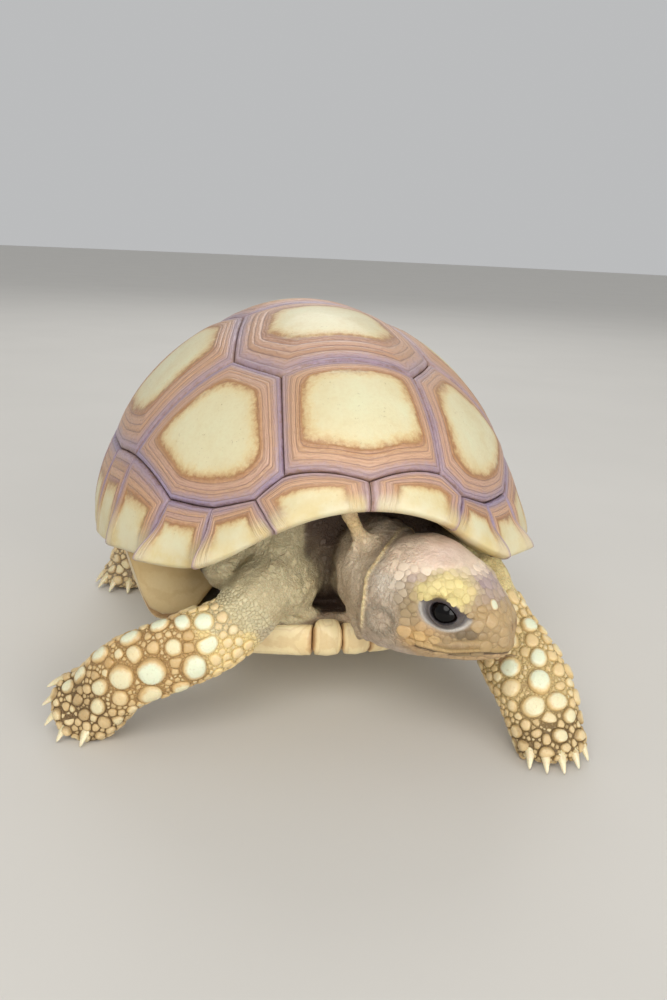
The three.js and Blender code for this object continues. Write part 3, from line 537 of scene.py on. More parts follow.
def marginal(name, tops, start, end, jut_at, seed, rings=4):
    rng = np.random.default_rng(seed)
    tops = np.array(tops, float)
    lengths = lengths_along(on_disc(tops))
    total = lengths[-1]
    edges = ring_edges(rng, rings)
    tones, heights = rng.uniform(0, 1, rings), rng.uniform(0.06, 0.11, rings)
    lines = ring_lines(edges)
    top_share, near_share, far_share = rng.uniform(0.36, 0.42), rng.uniform(0.2, 0.26), rng.uniform(0.15, 0.2)
    along = np.concatenate([lines * near_share, mix(near_share, 1 - far_share, np.arange(1, 14) / 14),
                            1 - lines[::-1] * far_share])
    down = np.concatenate([lines * top_share, mix(top_share, 1, np.arange(1, 17) / 16)])

    at = mix(0.5 * SEAM_GAP, total - 0.5 * SEAM_GAP, along)
    top = follow(tops, lengths, at) * (1 + 0.5 * SEAM_GAP / 22)
    span = np.linalg.norm(dome(np.array(start), 1.0) - dome(np.array(end), 1.0))
    rim_angle = mix(start, end, mix(0.5 * SEAM_GAP / span, 1 - 0.5 * SEAM_GAP / span, along))
    top_angle = np.arctan2(top[:, 0], top[:, 1])
    top_angle += 2 * math.pi * np.sign(rim_angle) * (np.abs(top_angle - rim_angle) > math.pi)
    top_reach = np.hypot(top[:, 0], top[:, 1])

    # Directions at the rim: inward on the level, and outward in line with each strip.
    inward = unit(np.stack([
        -np.sin(rim_angle) / HALF_WIDTH, np.cos(rim_angle) / HALF_LENGTH, 0 * rim_angle,
    ], -1))
    part = 0.8
    low_angle, low_reach = mix(top_angle, rim_angle, part), mix(top_reach, 1, part)
    fall = unit(dome(rim_angle, np.ones_like(rim_angle)) - dome(low_angle, low_reach))
    face = disc_normal(disc_point(low_angle, low_reach))
    face = unit(face - fall * np.sum(face * fall, -1, keepdims=True))
    outward = -(fall * np.sum(inward * fall, -1, keepdims=True)
                + face * np.sum(inward * face, -1, keepdims=True))
    jut = jut_at(along)

    share = down[None, :]
    angle = mix(top_angle[:, None], rim_angle[:, None], share)
    reach = mix(top_reach[:, None], 1, share)
    held = np.minimum(reach, NORMAL_REACH)
    up = disc_normal(disc_point(angle, held))
    edge = smooth((share - 0.4) / 0.6)
    growth_top = np.where(share < top_share, share / top_share, 1 + (share - top_share) / (1 - top_share))
    a = along[:, None]
    side_growth = [np.where(from_end < part, from_end / part, 1 + (from_end - part) / (1 - part) * 2)
                   for from_end, part in ((a, near_share), (1 - a, far_share))]
    growth = np.minimum(np.minimum(growth_top, np.minimum(*side_growth)), 2)
    relief, tone, groove = ring_section(growth, edges, tones, heights)
    fade = 1 - 0.75 * smooth((share - 0.75) / 0.25)
    lift = (0.5 * PLATE_CROWN * np.sin(share * math.pi) - 0.26 * (1 - smooth(growth / 0.09))
            + relief * fade + 0.05 * smooth((growth - 0.985) / 0.05))
    outer = dome(angle, reach) + up * lift[..., None] + outward[:, None] * (jut[:, None] * edge)[..., None]

    rim = dome(rim_angle, np.ones_like(rim_angle))
    hooked = np.sin(rim_angle) ** 2
    upward = np.array([0, 0, 1.0])

    def turn(inwards, upwards, out=0.0):
        spread = [np.broadcast_to(v, rim_angle.shape)[:, None] for v in (inwards, upwards, out)]
        return rim + inward * spread[0] + upward * spread[1] + outward * spread[2]

    base = outer[:, -1] - rim
    lip = []
    for s in LIP_LINES:
        bend = s * math.pi / 2
        aim = turn(RIM_ROUND * (1 - math.cos(bend)), -RIM_LIP * math.sin(bend), jut * (1 - 0.4 * s))
        lip.append(aim + (base - outward * jut[:, None]) * (1 - s))
    flange = turn(FLANGE, mix(-0.6, 0, hooked))
    under = [mix(lip[-1], flange, s) for s in UNDER_LINES]
    inner = [
        turn(FLANGE - 0.05, mix(-0.1, 1.3, hooked)),
        turn(mix(2.5, 2.2, hooked), mix(0.15, 1.5, hooked)),
    ]
    for s in (0.66, 0.33, 0.0):
        back_angle, back_reach = mix(top_angle, rim_angle, s), mix(top_reach, 1, s)
        back = disc_normal(disc_point(back_angle, np.minimum(back_reach, NORMAL_REACH)))
        inner.append(dome(back_angle, back_reach) - back * PLATE)
    profile = np.concatenate([outer, np.stack(lip + under + inner, 1)], 1)
    strips, count = profile.shape[:2]

    def extend(values, rim_value):
        return np.concatenate([values, np.repeat(values[:, -1:], len(lip), 1),
                               np.full((strips, count - len(down) - len(lip)), rim_value)], 1)

    ends = [np.arange(count), (strips - 1) * count + np.arange(count)]
    quads = tube_faces(strips, count)
    centres = [profile[0].mean(0), profile[-1].mean(0)]
    points = np.concatenate([profile.reshape(-1, 3), centres])
    # The two end walls are fans over the outline of each end strip.
    tris = np.concatenate([
        np.stack([np.full(count, strips * count), ends[0], np.roll(ends[0], -1)], -1),
        np.stack([np.full(count, strips * count + 1), np.roll(ends[1], -1), ends[1]], -1),
    ])
    values = {
        "growth": np.append(extend(growth, 1.6), [0, 0]),
        "band": np.append(extend(tone, 0.5), [0.3, 0.3]),
        "groove": np.append(extend(groove * fade, 0.0), [1, 1]),
        "lip": np.append(extend(smooth((share - 0.42) / 0.5) + 0 * growth, 1.0), [0, 0]),
    }
    piece = add_mesh("scute_" + name, points, quads, tris, HORN, values)
    return place(piece, "marginal", name)


for word, hand in SIDES:
    for i, names in enumerate(MARGINAL_TOPS):
        marginal(f"marginal_{word}_{i + 1}", [corner(name, hand) for name in names], hand * RIM_ANGLES[i],
                 hand * RIM_ANGLES[i + 1], lambda along, i=i: SAW[i] * along ** SAW_POWER, 61 + i + 13 * hand)
marginal("supracaudal", [corner("m11tail", 1), SEAM["rearMiddle"], corner("m11tail", -1)], RIM_ANGLES[11],
         2 * math.pi - RIM_ANGLES[11], lambda along: TAIL_SAW * np.sin(along * math.pi), 97)

# ---- Plastron and bridge ----

PLASTRON = 2.4
LOBE_EDGE = 1.9
BRIDGE_START = 22.5
BRIDGE_POWER = 3
BRIDGE_END = 18
LOBE_FROM = 24.5
LOBE_RUN = 5
CAD_GAP = 0.32


def rim_side_at(forward):
    angle = np.arccos(signed_power(np.asarray(forward, float) / HALF_LENGTH, 1 / PLAN_POWER))
    return np.abs(dome(angle, np.ones_like(angle))[..., 0])


def bridge_edge(forward):
    return rim_side_at(forward) - FLANGE - CAD_GAP


def plastron_height(side, forward):
    edge = bridge_edge(np.clip(forward, -BRIDGE_END, BRIDGE_END))
    share = np.clip((side - BRIDGE_START) / (edge - BRIDGE_START), 0, 1)
    return (RIM_SIDE - 0.9) * share ** BRIDGE_POWER


def plastron_thickness(side, forward):
    lobe = LOBE_EDGE * smooth((forward - LOBE_FROM) / LOBE_RUN)
    return PLASTRON + lobe - 0.5 * smooth((side - BRIDGE_START - 1) / 6)


def on_bridge(share, forward):
    return (mix(BRIDGE_START, float(bridge_edge(forward)), share), forward)


MIDLINE = 0.08
PLASTRAL_STEP = 0.4
PLASTRAL = {
    "gular": [[(0.1, 31.5), (1.9, 32), (3.8, 31.3)], [(0.1, 24.4), (1.95, 27.1), (3.9, 30.5)]],
    "humeral": [[(4.0, 30.4), (2.1, 26.8), (MIDLINE, 24.0), (MIDLINE, 16.3)],
                [(4.2, 31.1), (14.2, 28.4), (17.6, 24), (18.4, 17.1)]],
    "pectoral": [[(MIDLINE, 16.1), (9, 16.2), (18.6, 16.9), on_bridge(0.45, 16.1), on_bridge(0.75, 15.5),
                  on_bridge(1, 15.1)],
                 [(MIDLINE, 10.5), (9, 10.4), (18.6, 9.5), on_bridge(0.45, 9.2), on_bridge(0.75, 9),
                  on_bridge(1, 8.9)]],
    "abdominal": [[(MIDLINE, 10.2), (9, 10.1), (18.6, 9.3), on_bridge(0.45, 9.0), on_bridge(0.75, 8.8),
                   on_bridge(1, 8.7)],
                  [(MIDLINE, -12.9), (9, -13.1), (18, -14.7), on_bridge(0.45, -15.2), on_bridge(0.75, -15.5),
                   on_bridge(1, -15.6)]],
    "femoral": [[(MIDLINE, -13.1), (MIDLINE, -24.7)], [(17, -15), (14.4, -26.5)]],
    "anal": [[(MIDLINE, -24.9), (MIDLINE, -31.5)], [(14.2, -26.7), (7, -35)]],
}
# How round the edges of the plates are, in millimetres.
FREE_EDGE = 1.9
SEAM_EDGE = {"gular": 1.25, "humeral": 0.6}
PLAIN_SEAM_EDGE = 0.4


def rounded(distance, radius):
    return radius * (1 - np.sqrt(1 - (1 - np.clip(distance / radius, 0, 1)) ** 2))


def along_line(line):
    """Lengths along a line, and even shares of it a mesh step apart."""
    lengths = lengths_along(np.array(line, float))
    return lengths, np.linspace(0, 1, max(6, round(lengths[-1] / PLASTRAL_STEP)))


def plastral_scute(name, word, hand):
    first, second = (np.array(line, float) for line in PLASTRAL[name])
    length, shares = along_line((first + second) / 2)
    stations = shares * length[-1]
    ends = [follow(line, length, stations) for line in (first, second)]
    width = np.linalg.norm(ends[0] - ends[1], axis=-1)
    columns = max(6, round(width.max() / PLASTRAL_STEP))
    across = np.linspace(0, 1, columns)
    grid = mix(ends[0][:, None], ends[1][:, None], across[None, :, None])
    side, forward = grid[..., 0], grid[..., 1]
    if side.max() > BRIDGE_START + 1:
        # The outer edge of the bridge follows the curve of the rim.
        bulge = (bridge_edge(forward[-1]) - BRIDGE_START) / (side[-1] - BRIDGE_START)
        side = np.where(side > BRIDGE_START, BRIDGE_START + (side - BRIDGE_START) * bulge, side)
    to_side = np.minimum(across, 1 - across)[None] * width[:, None]
    to_end = (np.minimum(stations, length[-1] - stations))[:, None] + 0 * to_side
    thickness = plastron_thickness(side, forward)
    # Seams are barely rounded. The free front edge of the first two plates is a soft roll.
    inner_is_free, outer_is_free = name == "gular", name in ("humeral", "femoral", "anal")
    free = (across if inner_is_free else 1 - across if outer_is_free else across + 9)[None] * width[:, None]
    seam = np.minimum(to_end, np.where(free == to_side, 9, to_side))
    drop = np.maximum(rounded(free, np.minimum(FREE_EDGE, 0.48 * thickness)),
                      rounded(seam, SEAM_EDGE.get(name, PLAIN_SEAM_EDGE)))
    distance = np.minimum(seam, 0.9 + free)
    height = plastron_height(side, forward)
    rings = 0.035 * np.sin(distance * 5.2) * smooth(distance / 0.8) * (name != "gular")
    low = body(hand * side, forward, height + drop - np.minimum(rings, 0.02))
    swell = (name == "gular") * smooth((forward - 26) / 3) * 0.8
    high = body(hand * side, forward, height + thickness - drop + swell)
    rows, columns = side.shape
    points = np.concatenate([low.reshape(-1, 3), high.reshape(-1, 3)])
    index = np.arange(rows * columns).reshape(rows, columns)
    cell = np.stack([index[:-1, :-1], index[:-1, 1:], index[1:, 1:], index[1:, :-1]], -1).reshape(-1, 4)
    rim = np.concatenate([index[0], index[1:, -1], index[-1, -2::-1], index[-2:0:-1, 0]])
    after = np.roll(rim, -1)
    top = rows * columns
    wall = np.stack([after, rim, rim + top, after + top], -1)
    quads = np.concatenate([cell[:, ::-1], cell + top, wall[:, ::-1]])
    edge = np.concatenate([distance.ravel()] * 2)
    piece = add_mesh(f"scute_{name}_{word}", points, quads, [], BELLY_HORN, {"edge": edge})
    return place(piece, "plastron", f"{name}_{word}")


def belly_material():
    s = Shader("belly_horn", 0.4, Subsurface_Weight=0.1, Subsurface_Scale=0.001, Coat_Weight=0.1,
               Subsurface_Radius=(1, 0.6, 0.35))
    edge = s.value("edge")
    wander = s.around(s.noise(0.5, 3), 0.8, edge)
    base = s.ramp(s.times(wander, 0.2), [
        (0.0, "b08c60"), (0.02, "cfae7e"), (0.06, "e0c897"),
        (0.25, "e6d5a8"), (0.6, "e8dab2"), (1.0, "e9deba"),
    ])
    lines = s.span(s.math("SINE", s.times(wander, 9.0)), 0.2, 1.0, 0.0, 0.22)
    base = s.blend(lines, base, "b58d5e")
    stain = s.span(s.noise(0.16, 4, 0.6), 0.56, 0.76, 0.0, 0.22)
    base = s.blend(stain, base, "a07c55")
    grain = s.noise(2.6, 5, 0.7)
    base = s.blend(s.span(grain, 0.35, 0.75, 0.0, 0.16), base, "c19e68")
    # Towards the rim the horn turns tan and darker brown: partly its own tan, partly painted shadow under the
    # rim.
    base = s.blend(s.times(s.value("rim_tan_and_shadow"), 0.7), base, s.blend(stain, "b4965f", "977647"))
    height = s.math("MULTIPLY_ADD", lines, -0.8, s.times(grain, 0.4))
    return s.finish(base, height, 0.08, s.span(grain, 0.2, 0.8, 0.34, 0.5))


BELLY_HORN = belly_material()
for word, hand in SIDES:
    for name in PLASTRAL:
        plastral_scute(name, word, hand)


BUTTRESS_SIDES = 28


def buttress(name, line, low, high, hand):
    """The small scute that closes an end of the bridge, between the plastron and the rim."""
    length, shares = along_line(line)
    at = follow(np.array(line), length, shares * length[-1])
    heading = unit(np.gradient(at, axis=0))
    out = np.stack([-heading[:, 1], heading[:, 0]], -1)
    turns = np.linspace(0, 2 * math.pi, BUTTRESS_SIDES, endpoint=False)
    low_at, high_at = np.interp(shares, *low), np.interp(shares, *high)
    taper = np.sqrt(np.clip(np.sin(np.clip(shares, 0.02, 0.98) * math.pi), 0, 1)) * 0.35 + 0.65
    up = mix(low_at[:, None], high_at[:, None], 0.5 + 0.5 * signed_power(np.sin(turns), 0.6)[None])
    thick = ((0.75 + 0.75 * smooth(shares / 0.4)[:, None]) * signed_power(np.cos(turns), 0.6)[None]
             * taper[:, None])
    flat = at[:, None] + out[:, None] * thick[..., None]
    points = body(hand * flat[..., 0], flat[..., 1], up).reshape(-1, 3)
    points = np.concatenate([
        points, [points[:BUTTRESS_SIDES].mean(0), points[-BUTTRESS_SIDES:].mean(0)],
    ])
    rows = len(at)
    edge = np.minimum(up - low_at[:, None], high_at[:, None] - up)
    # The value that rises towards the rim darkens the buttress there: its own tan, with painted shadow under the
    # rim.
    piece = add_mesh(name, points, tube_faces(rows, BUTTRESS_SIDES), cap_faces(rows, BUTTRESS_SIDES),
                     BELLY_HORN,
                     {"edge": np.append(0.25 + 0.2 * edge.ravel(), [0.5, 0.5]),
                      "rim_tan_and_shadow": np.append((0.45 + 0.55 * smooth((up - 5) / 3.5)).ravel(), [0.5, 0.5])})
    return place(piece, "plastron")


for word, hand in SIDES:
    buttress(f"axillary_{word}",
             [(15.4, 18.6), (18.4, 18.0), (21.4, 17.9), (24.3, 16.6), (bridge_edge(16.0) + 0.4, 15.8)],
             ([0, 0.23, 0.6, 0.76, 0.84, 0.92, 1], [6.6, 2.6, 1.5, 2.2, 4, 7, 10.2]),
             ([0, 0.25, 0.6, 1], [9.4, 11, 11.8, 12.2]), hand)
    buttress(f"inguinal_{word}",
             [(18.2, -15.4), (21.5, -16.4), (24.5, -16.9), (bridge_edge(-16.6) + 0.6, -16.7)],
             ([0, 0.5, 0.7, 0.8, 0.9, 1], [2, 1.5, 2.2, 4, 7, 10.2]),
             ([0, 0.4, 0.7, 1], [4.4, 8.4, 11, 12.2]), hand)

# ---- Flesh: tubes and the head, joined under one skin ----

def refine(stations, steps):
    """Stations (at, wide, thick, face) with a smooth curve through them."""
    rows = np.array([[*at, wide, thick, *face] for at, wide, thick, face in stations], float)
    padded = np.concatenate([rows[:1], rows, rows[-1:]])
    result = []
    for i in range(len(rows) - 1):
        p, q, r, w = padded[i:i + 4]
        for t in np.arange(steps) / steps:
            result.append(q + 0.5 * t * (r - p + t * (2 * p - 5 * q + 4 * r - w + t * (3 * (q - r) + w - p))))
    return np.array(result + [rows[-1]])


class Limb:
    """An oval tube through stations, and the way back from a point to (station, angle, distance)."""

    def __init__(self, stations, ends, steps=6):
        rows = refine(stations, steps)
        self.steps, self.ends = steps, ends
        self.path = body(rows[:, 0], rows[:, 1], rows[:, 2])
        self.size = rows[:, 3:5]
        neighbours = np.concatenate([self.path[:1], self.path, self.path[-1:]])
        self.along = unit(neighbours[2:] - neighbours[:-2])
        face = body(rows[:, 5], rows[:, 6], rows[:, 7])
        self.wide = unit(face - self.along * np.sum(face * self.along, -1, keepdims=True))
        self.thick = np.cross(self.along, self.wide)

    def mesh(self, shrink, sides=40):
        turn = circle(sides)
        size = self.size - shrink
        rings = (self.path[:, None]
                 + self.wide[:, None] * (size[:, :1] * signed_power(np.cos(turn), 0.9))[..., None]
                 + self.thick[:, None] * (size[:, 1:] * signed_power(np.sin(turn), 0.9))[..., None])
        caps = [self.path[0] - self.along[0] * (self.ends[0] - shrink),
                self.path[-1] + self.along[-1] * (self.ends[1] - shrink)]
        points = np.concatenate([rings.reshape(-1, 3), caps])
        count = len(self.path)
        return points, tube_faces(count, sides), cap_faces(count, sides)

    def locate(self, points):
        """Station (a float), angle from the wide axis, and distance from the axis, for each point."""
        best = np.full(len(points), np.inf)
        station = np.zeros(len(points))
        for i in range(len(self.path) - 1):
            start, step = self.path[i], self.path[i + 1] - self.path[i]
            t = np.clip((points - start) @ step / (step @ step), 0, 1)
            away = np.linalg.norm(points - start - t[:, None] * step, axis=-1)
            nearer = away < best
            best[nearer], station[nearer] = away[nearer], i + t[nearer]
        low = np.minimum(station.astype(int), len(self.path) - 2)
        part = (station - low)[:, None]
        centre = mix(self.path[low], self.path[low + 1], part)
        wide = mix(self.wide[low], self.wide[low + 1], part)
        thick = mix(self.thick[low], self.thick[low + 1], part)
        off = points - centre
        turn = np.arctan2(np.sum(off * thick, -1), np.sum(off * wide, -1))
        return station / self.steps, turn, best

    def girth(self, station):
        """Half of the greater width at each station."""
        return np.interp(station * self.steps, np.arange(len(self.path)), self.size.max(1))

    def at(self, station, turn):
        """Centre, and the direction outward at an angle, at a station."""
        where = min(max(station * self.steps, 0), len(self.path) - 1.001)
        low, part = int(where), where - int(where)
        centre = mix(self.path[low], self.path[low + 1], part)
        out = math.cos(turn) * mix(self.wide[low], self.wide[low + 1], part) \
            + math.sin(turn) * mix(self.thick[low], self.thick[low + 1], part)
        return centre, unit(out)


FRONT_LEG_RIGHT = [
    ((-4.5, 20, 12.4), 5.2, 4.6, (-0.7, 0, 0.7)), ((-7.4, 27, 10.8), 5.8, 4.4, (-0.7, 0, 0.7)),
    ((-10.6, 30, 9.5), 4.7, 4.1, (-0.6, -0.1, 0.8)), ((-14.3, 32.5, 6.2), 4.5, 3.9, (-0.5, -0.2, 0.9)),
    ((-18.2, 33.5, 4.4), 4.8, 3.7, (-0.3, -0.3, 0.9)), ((-23.2, 33.5, 2.5), 4.9, 3.5, (-0.3, -0.3, 0.9)),
    ((-28.3, 32.4, -0.2), 4.9, 3.3, (-0.3, -0.3, 0.9)), ((-31.7, 30.9, -4.5), 4.8, 3.1, (-0.3, -0.3, 0.9)),
    ((-34, 29.6, -7.3), 4.6, 3.1, (-0.3, -0.3, 0.9)),
]
FRONT_LEG_LEFT = [
    ((12.6, 20, 11.8), 5.2, 4.8, (0.8, 0, 0.6)), ((19.3, 25.6, 9.9), 4.5, 4.3, (0.8, 0, 0.6)),
    ((20.4, 29.4, 6.6), 4.9, 4.3, (0.8, 0, 0.5)), ((21.6, 33, 3.6), 5.1, 4, (0.9, -0.1, 0.4)),
    ((22.9, 37, 0.8), 5.5, 3.8, (0.9, -0.1, 0.4)), ((23.9, 40.5, -2), 5.5, 3.5, (0.9, -0.1, 0.3)),
    ((24.5, 43, -5.6), 5.1, 3.4, (0.9, -0.1, 0.2)), ((24.8, 44.6, -8.2), 4.6, 3.2, (0.9, -0.1, 0.1)),
]
HIND_LEG_RIGHT = [
    ((-11, -21, 11.4), 6.2, 5.4, (1, 0, 0)), ((-17.4, -22.6, 8.6), 5.6, 5, (1, 0, 0.2)),
    ((-22.2, -23.4, 4.8), 5.2, 4.9, (1, 0, 0.4)), ((-25, -23.4, -0.2), 4.8, 4.8, (1, 0, 0.2)),
    ((-26.2, -22.8, -4.6), 4.9, 4.9, (1, 0, 0)), ((-26.8, -22.4, -8.4), 5, 5, (1, 0, 0)),
]
HIND_STEP = 5
HIND_LEG_LEFT = [
    ((-at[0], at[1] - HIND_STEP * i / 5, at[2]), wide, thick, (-face[0], face[1], face[2]))
    for i, (at, wide, thick, face) in enumerate(HIND_LEG_RIGHT)
]
NECK = [
    ((2.4, 19, 11), 6.4, 6.2, (0, 0, 1)), ((4, 25, 11.4), 6.4, 6, (0, 0, 1)),
    ((4.6, 29, 12.2), 6.8, 6.1, (0, 0, 1)), ((4.9, 32, 12), 6.9, 6.1, (0, 0, 1)),
    ((5.6, 34.4, 11.4), 6.6, 6.1, (0, 0, 1)), ((7, 36, 11), 5, 5, (0, 0, 1)),
]
TAIL = [
    ((0.4, -25, 8), 4.6, 4, (1, 0, 0)), ((1, -30.5, 7), 4, 3.4, (1, 0, 0)),
    ((1.8, -34.5, 5.2), 2.8, 2.4, (1, 0, 0)), ((2.6, -37.6, 3.6), 1.4, 1.2, (1, 0, 0)),
]
# Skin that spreads from the arm to the shell, and that fills the front of the chest over the plastron.
WEBS = [
    [((-13.6, 27.6, 9.4), 4.2, 2.2, (-0.75, 0.1, 0.6)), ((-13.4, 24, 11.5), 6.5, 3.4, (-0.8, 0.1, 0.55)),
     ((-11, 19, 13), 7.5, 4.5, (-0.8, 0, 0.5))],
    [((-8.9, 28.6, 7.6), 3.4, 2.4, (1, 0.3, 0.1)), ((-9.2, 27.4, 12.5), 4.0, 2.6, (1, 0.3, 0.1)),
     ((-10, 24.5, 17.8), 5.2, 3, (1, 0.3, 0.1))],
    [((17.6, 26.2, 10.4), 4.4, 3, (0.75, 0.1, 0.6)), ((14.5, 22, 12.5), 6, 4.5, (0.8, 0, 0.5))],
    [((-13, 25.6, 4.4), 2.7, 1.6, (0, 1, 0.1)), ((-7, 26.4, 4.1), 2.9, 1.5, (0, 1, 0.1)),
     ((0, 26.7, 4.1), 2.9, 1.5, (0, 1, 0.1)), ((7, 26.4, 4.5), 2.9, 1.6, (0, 1, 0.1)),
     ((13.5, 26, 5.2), 3.0, 1.9, (0, 1, 0.1))],
]
LIMBS = {
    "front_leg_right": Limb(FRONT_LEG_RIGHT, (2, 1.2)), "front_leg_left": Limb(FRONT_LEG_LEFT, (2, 1.2)),
    "hind_leg_right": Limb(HIND_LEG_RIGHT, (2, 1.2)), "hind_leg_left": Limb(HIND_LEG_LEFT, (2, 1.2)),
    "neck": Limb(NECK, (1, 1)), "tail": Limb(TAIL, (1, 0.8)),
}
COAT = {"front_leg_right": 0.5, "front_leg_left": 0.5, "hind_leg_right": 0.45, "hind_leg_left": 0.45,
        "neck": 0.2, "tail": 0.3}


TOE = 1.15
CLAWS = {
    "front_leg_right": [
        [(-35.2, 28.6, -2.8), (-38.4, 28, -3.6)], [(-35.9, 29.4, -4.4), (-39, 28.9, -5.8)],
        [(-35.9, 30.3, -6), (-38.6, 30.6, -7.9)], [(-34.9, 31.4, -7.2), (-36.9, 33, -9)],
        [(-32.4, 32.4, -7.2), (-33.9, 34.6, -9)],
    ],
    "front_leg_left": [
        [(21.6, 45, -6.8), (20.6, 47.6, -9)], [(23, 46, -7), (22.5, 48.8, -9)],
        [(24.8, 46.3, -7), (24.7, 49.2, -9)], [(26.6, 45.8, -6.9), (27.1, 48.4, -9)],
        [(28, 44.8, -6.6), (29.2, 46.9, -9)],
    ],
    "hind_leg_right": [
        [(-27.6, -18.4, -7.2), (-28.2, -15.6, -9)], [(-29.6, -18.9, -7.2), (-31.6, -16.6, -9)],
        [(-31, -20.6, -7.2), (-33.6, -18.9, -9)], [(-31.4, -22.8, -7.2), (-34.2, -21.9, -9)],
    ],
}
CLAWS["hind_leg_left"] = [[(-s, f - HIND_STEP, u) for s, f, u in pair] for pair in CLAWS["hind_leg_right"]]


def trunk_mesh(shrink, sides=64):
    waist, floor, top = 17, 3.3 + shrink, DOME_HEIGHT - PLATE - 1 - shrink

    def ring(reach, upper):
        angle = circle(sides)
        lengthwise = np.where(np.cos(angle) > 0, 0.71, 0.78)
        exponent = 2 / (DOME_POWER if upper else 2.5 + 2 * np.maximum(np.cos(angle), 0) ** 2)
        spread = math.sin(reach * math.pi / 2) ** exponent
        height = max(math.cos(reach * math.pi / 2), 0) ** exponent
        level = waist + ((top - waist) if upper else (floor - waist)) * height
        return body((HALF_WIDTH * 0.84 - shrink) * np.sin(angle) * spread,
                    (HALF_LENGTH * lengthwise - shrink) * np.cos(angle) * spread, level)

    reaches = np.linspace(0.08, 1, 13)
    rings = [ring(r, True) for r in reaches] + [ring(r, False) for r in reaches[-2::-1]]
    points = np.concatenate([*rings, [body(0, 0, top)], [body(0, 0, floor)]])
    return points, tube_faces(len(rings), sides), cap_faces(len(rings), sides)


# The head has its own coordinates: ahead, left and up from the back of the skull.
HEAD_AT = body(1.6, 33.6, 10.8)
HEAD_TURN, HEAD_NOD, HEAD_LEAN = (math.radians(a) for a in (54, -1, -5))
EYE_AT = np.array([13, 6.1, 1.5])
EYE_RADIUS = 1.9
EYE_SHIFT = 0.22
EYE_TILT = math.radians(-16)
LID_LONG, LID_UPPER, LID_LOWER = 1.6, 1.06, 1.2
AHEAD = np.array([math.sin(HEAD_TURN) * math.cos(HEAD_NOD), -math.cos(HEAD_TURN) * math.cos(HEAD_NOD),
                  math.sin(HEAD_NOD)])
flat_left = np.array([math.cos(HEAD_TURN), math.sin(HEAD_TURN), 0])
above = np.cross(AHEAD, flat_left)
above = above if above[2] > 0 else -above
LEFT = flat_left * math.cos(HEAD_LEAN) + above * math.sin(HEAD_LEAN)
ABOVE = above * math.cos(HEAD_LEAN) - flat_left * math.sin(HEAD_LEAN)
HEAD_AXES = np.stack([AHEAD, LEFT, ABOVE])


def in_head(points):
    return HEAD_AT + np.asarray(points, float) @ HEAD_AXES


def to_head(points):
    return (points - HEAD_AT) @ HEAD_AXES.T


# Sections of the head: ahead, half width, height of the crown, depth of the throat.
HEAD_STATIONS = np.array([
    [1.6, 6.0, 5.6, 5.6], [3, 7.1, 6.8, 6.1], [5, 7.8, 8.1, 6.3], [8, 8.2, 8.8, 6.3],
    [10.5, 8.1, 8.3, 6.2], [12.5, 7.5, 7.4, 6], [14.5, 6.7, 6.2, 5.8], [16.1, 5.7, 4.8, 5.6],
    [17.6, 4.7, 3.2, 5.3], [18.8, 3.7, 1.7, 4.9], [19.7, 2.6, 0.2, 4.3],
])


def head_mesh(shrink, sides=64):
    rows = np.arange(0, len(HEAD_STATIONS) - 0.9, 0.25)
    index = np.arange(len(HEAD_STATIONS))
    ahead, wide, crown, throat = (np.interp(rows, index, HEAD_STATIONS[:, k]) for k in range(4))
    turn = circle(sides)
    height = np.where(np.sin(turn) > 0, crown[:, None], throat[:, None]) - shrink
    points = np.stack(np.broadcast_arrays(
        ahead[:, None], (wide[:, None] - shrink) * signed_power(np.cos(turn), 0.86),
        height * signed_power(np.sin(turn), 0.86)), -1).reshape(-1, 3)
    points = in_head(np.concatenate([points, [[0.9 + shrink, 0, 0], [20.2 - shrink, 0, -2.2]]]))
    return points, tube_faces(len(rows), sides), cap_faces(len(rows), sides)


def eye_axes(h):
    """Places along and across the opening of the eye, from its middle."""
    x, z = h[:, 0] - EYE_AT[0], h[:, 2] - EYE_AT[2] - EYE_SHIFT
    along = x * math.cos(EYE_TILT) + z * math.sin(EYE_TILT)
    return along, -x * math.sin(EYE_TILT) + z * math.cos(EYE_TILT)


def ear_distance(h):
    return np.hypot((h[:, 0] - 5.6) / 1.15, h[:, 2] + 0.9)


def nostril_distance(h):
    return np.hypot(np.hypot(h[:, 0] - 19.6, (np.abs(h[:, 1]) - 0.95) * 1.1), h[:, 2] + 0.5)


def collar_line(h):
    """0 on the fold of skin round the back of the head, which swings forward over the top."""
    return h[:, 0] - 2.4 - 0.5 * np.cos(h[:, 2] * 0.25) + 0.02 * h[:, 2] - 1.5 * smooth((h[:, 2] - 3) / 4)


def strand(points, radii, sides=12):
    """A thin fold of skin along a line of (side, forward, up) points."""
    stations = [(p, r, r, (0.1, 0.2, 1.0)) for p, r in zip(points, radii)]
    return Limb(stations, (0.3, 0.3), 5).mesh(0, sides)


# Folds of the skin: the hood from the nuchal edge to the neck, the edge behind the head, the armpit.
FOLDS = [
    strand([(-1.5, 35.4, 22.8), (-0.9, 34.9, 21.2), (0.0, 34.4, 19.6), (0.9, 34.1, 18.1), (2.0, 34.1, 17.3),
            (3.4, 34.3, 17.5)], [1.15, 1.05, 0.95, 0.95, 0.9, 0.7]),
    strand([(0.7, 34.1, 17.4), (-0.3, 33.7, 14.2), (0.0, 33.4, 10.5), (0.8, 33.8, 7.0), (2.0, 34.6, 4.4)],
           [0.6, 0.7, 0.7, 0.8, 0.9]),
    strand([(-7.4, 29.4, 7.4), (-5.2, 29.6, 6.4), (-3.0, 29.4, 5.2), (-0.6, 29.6, 5.4), (1.6, 31.0, 5.2)],
           [0.8, 0.75, 0.7, 0.7, 0.8]),
]


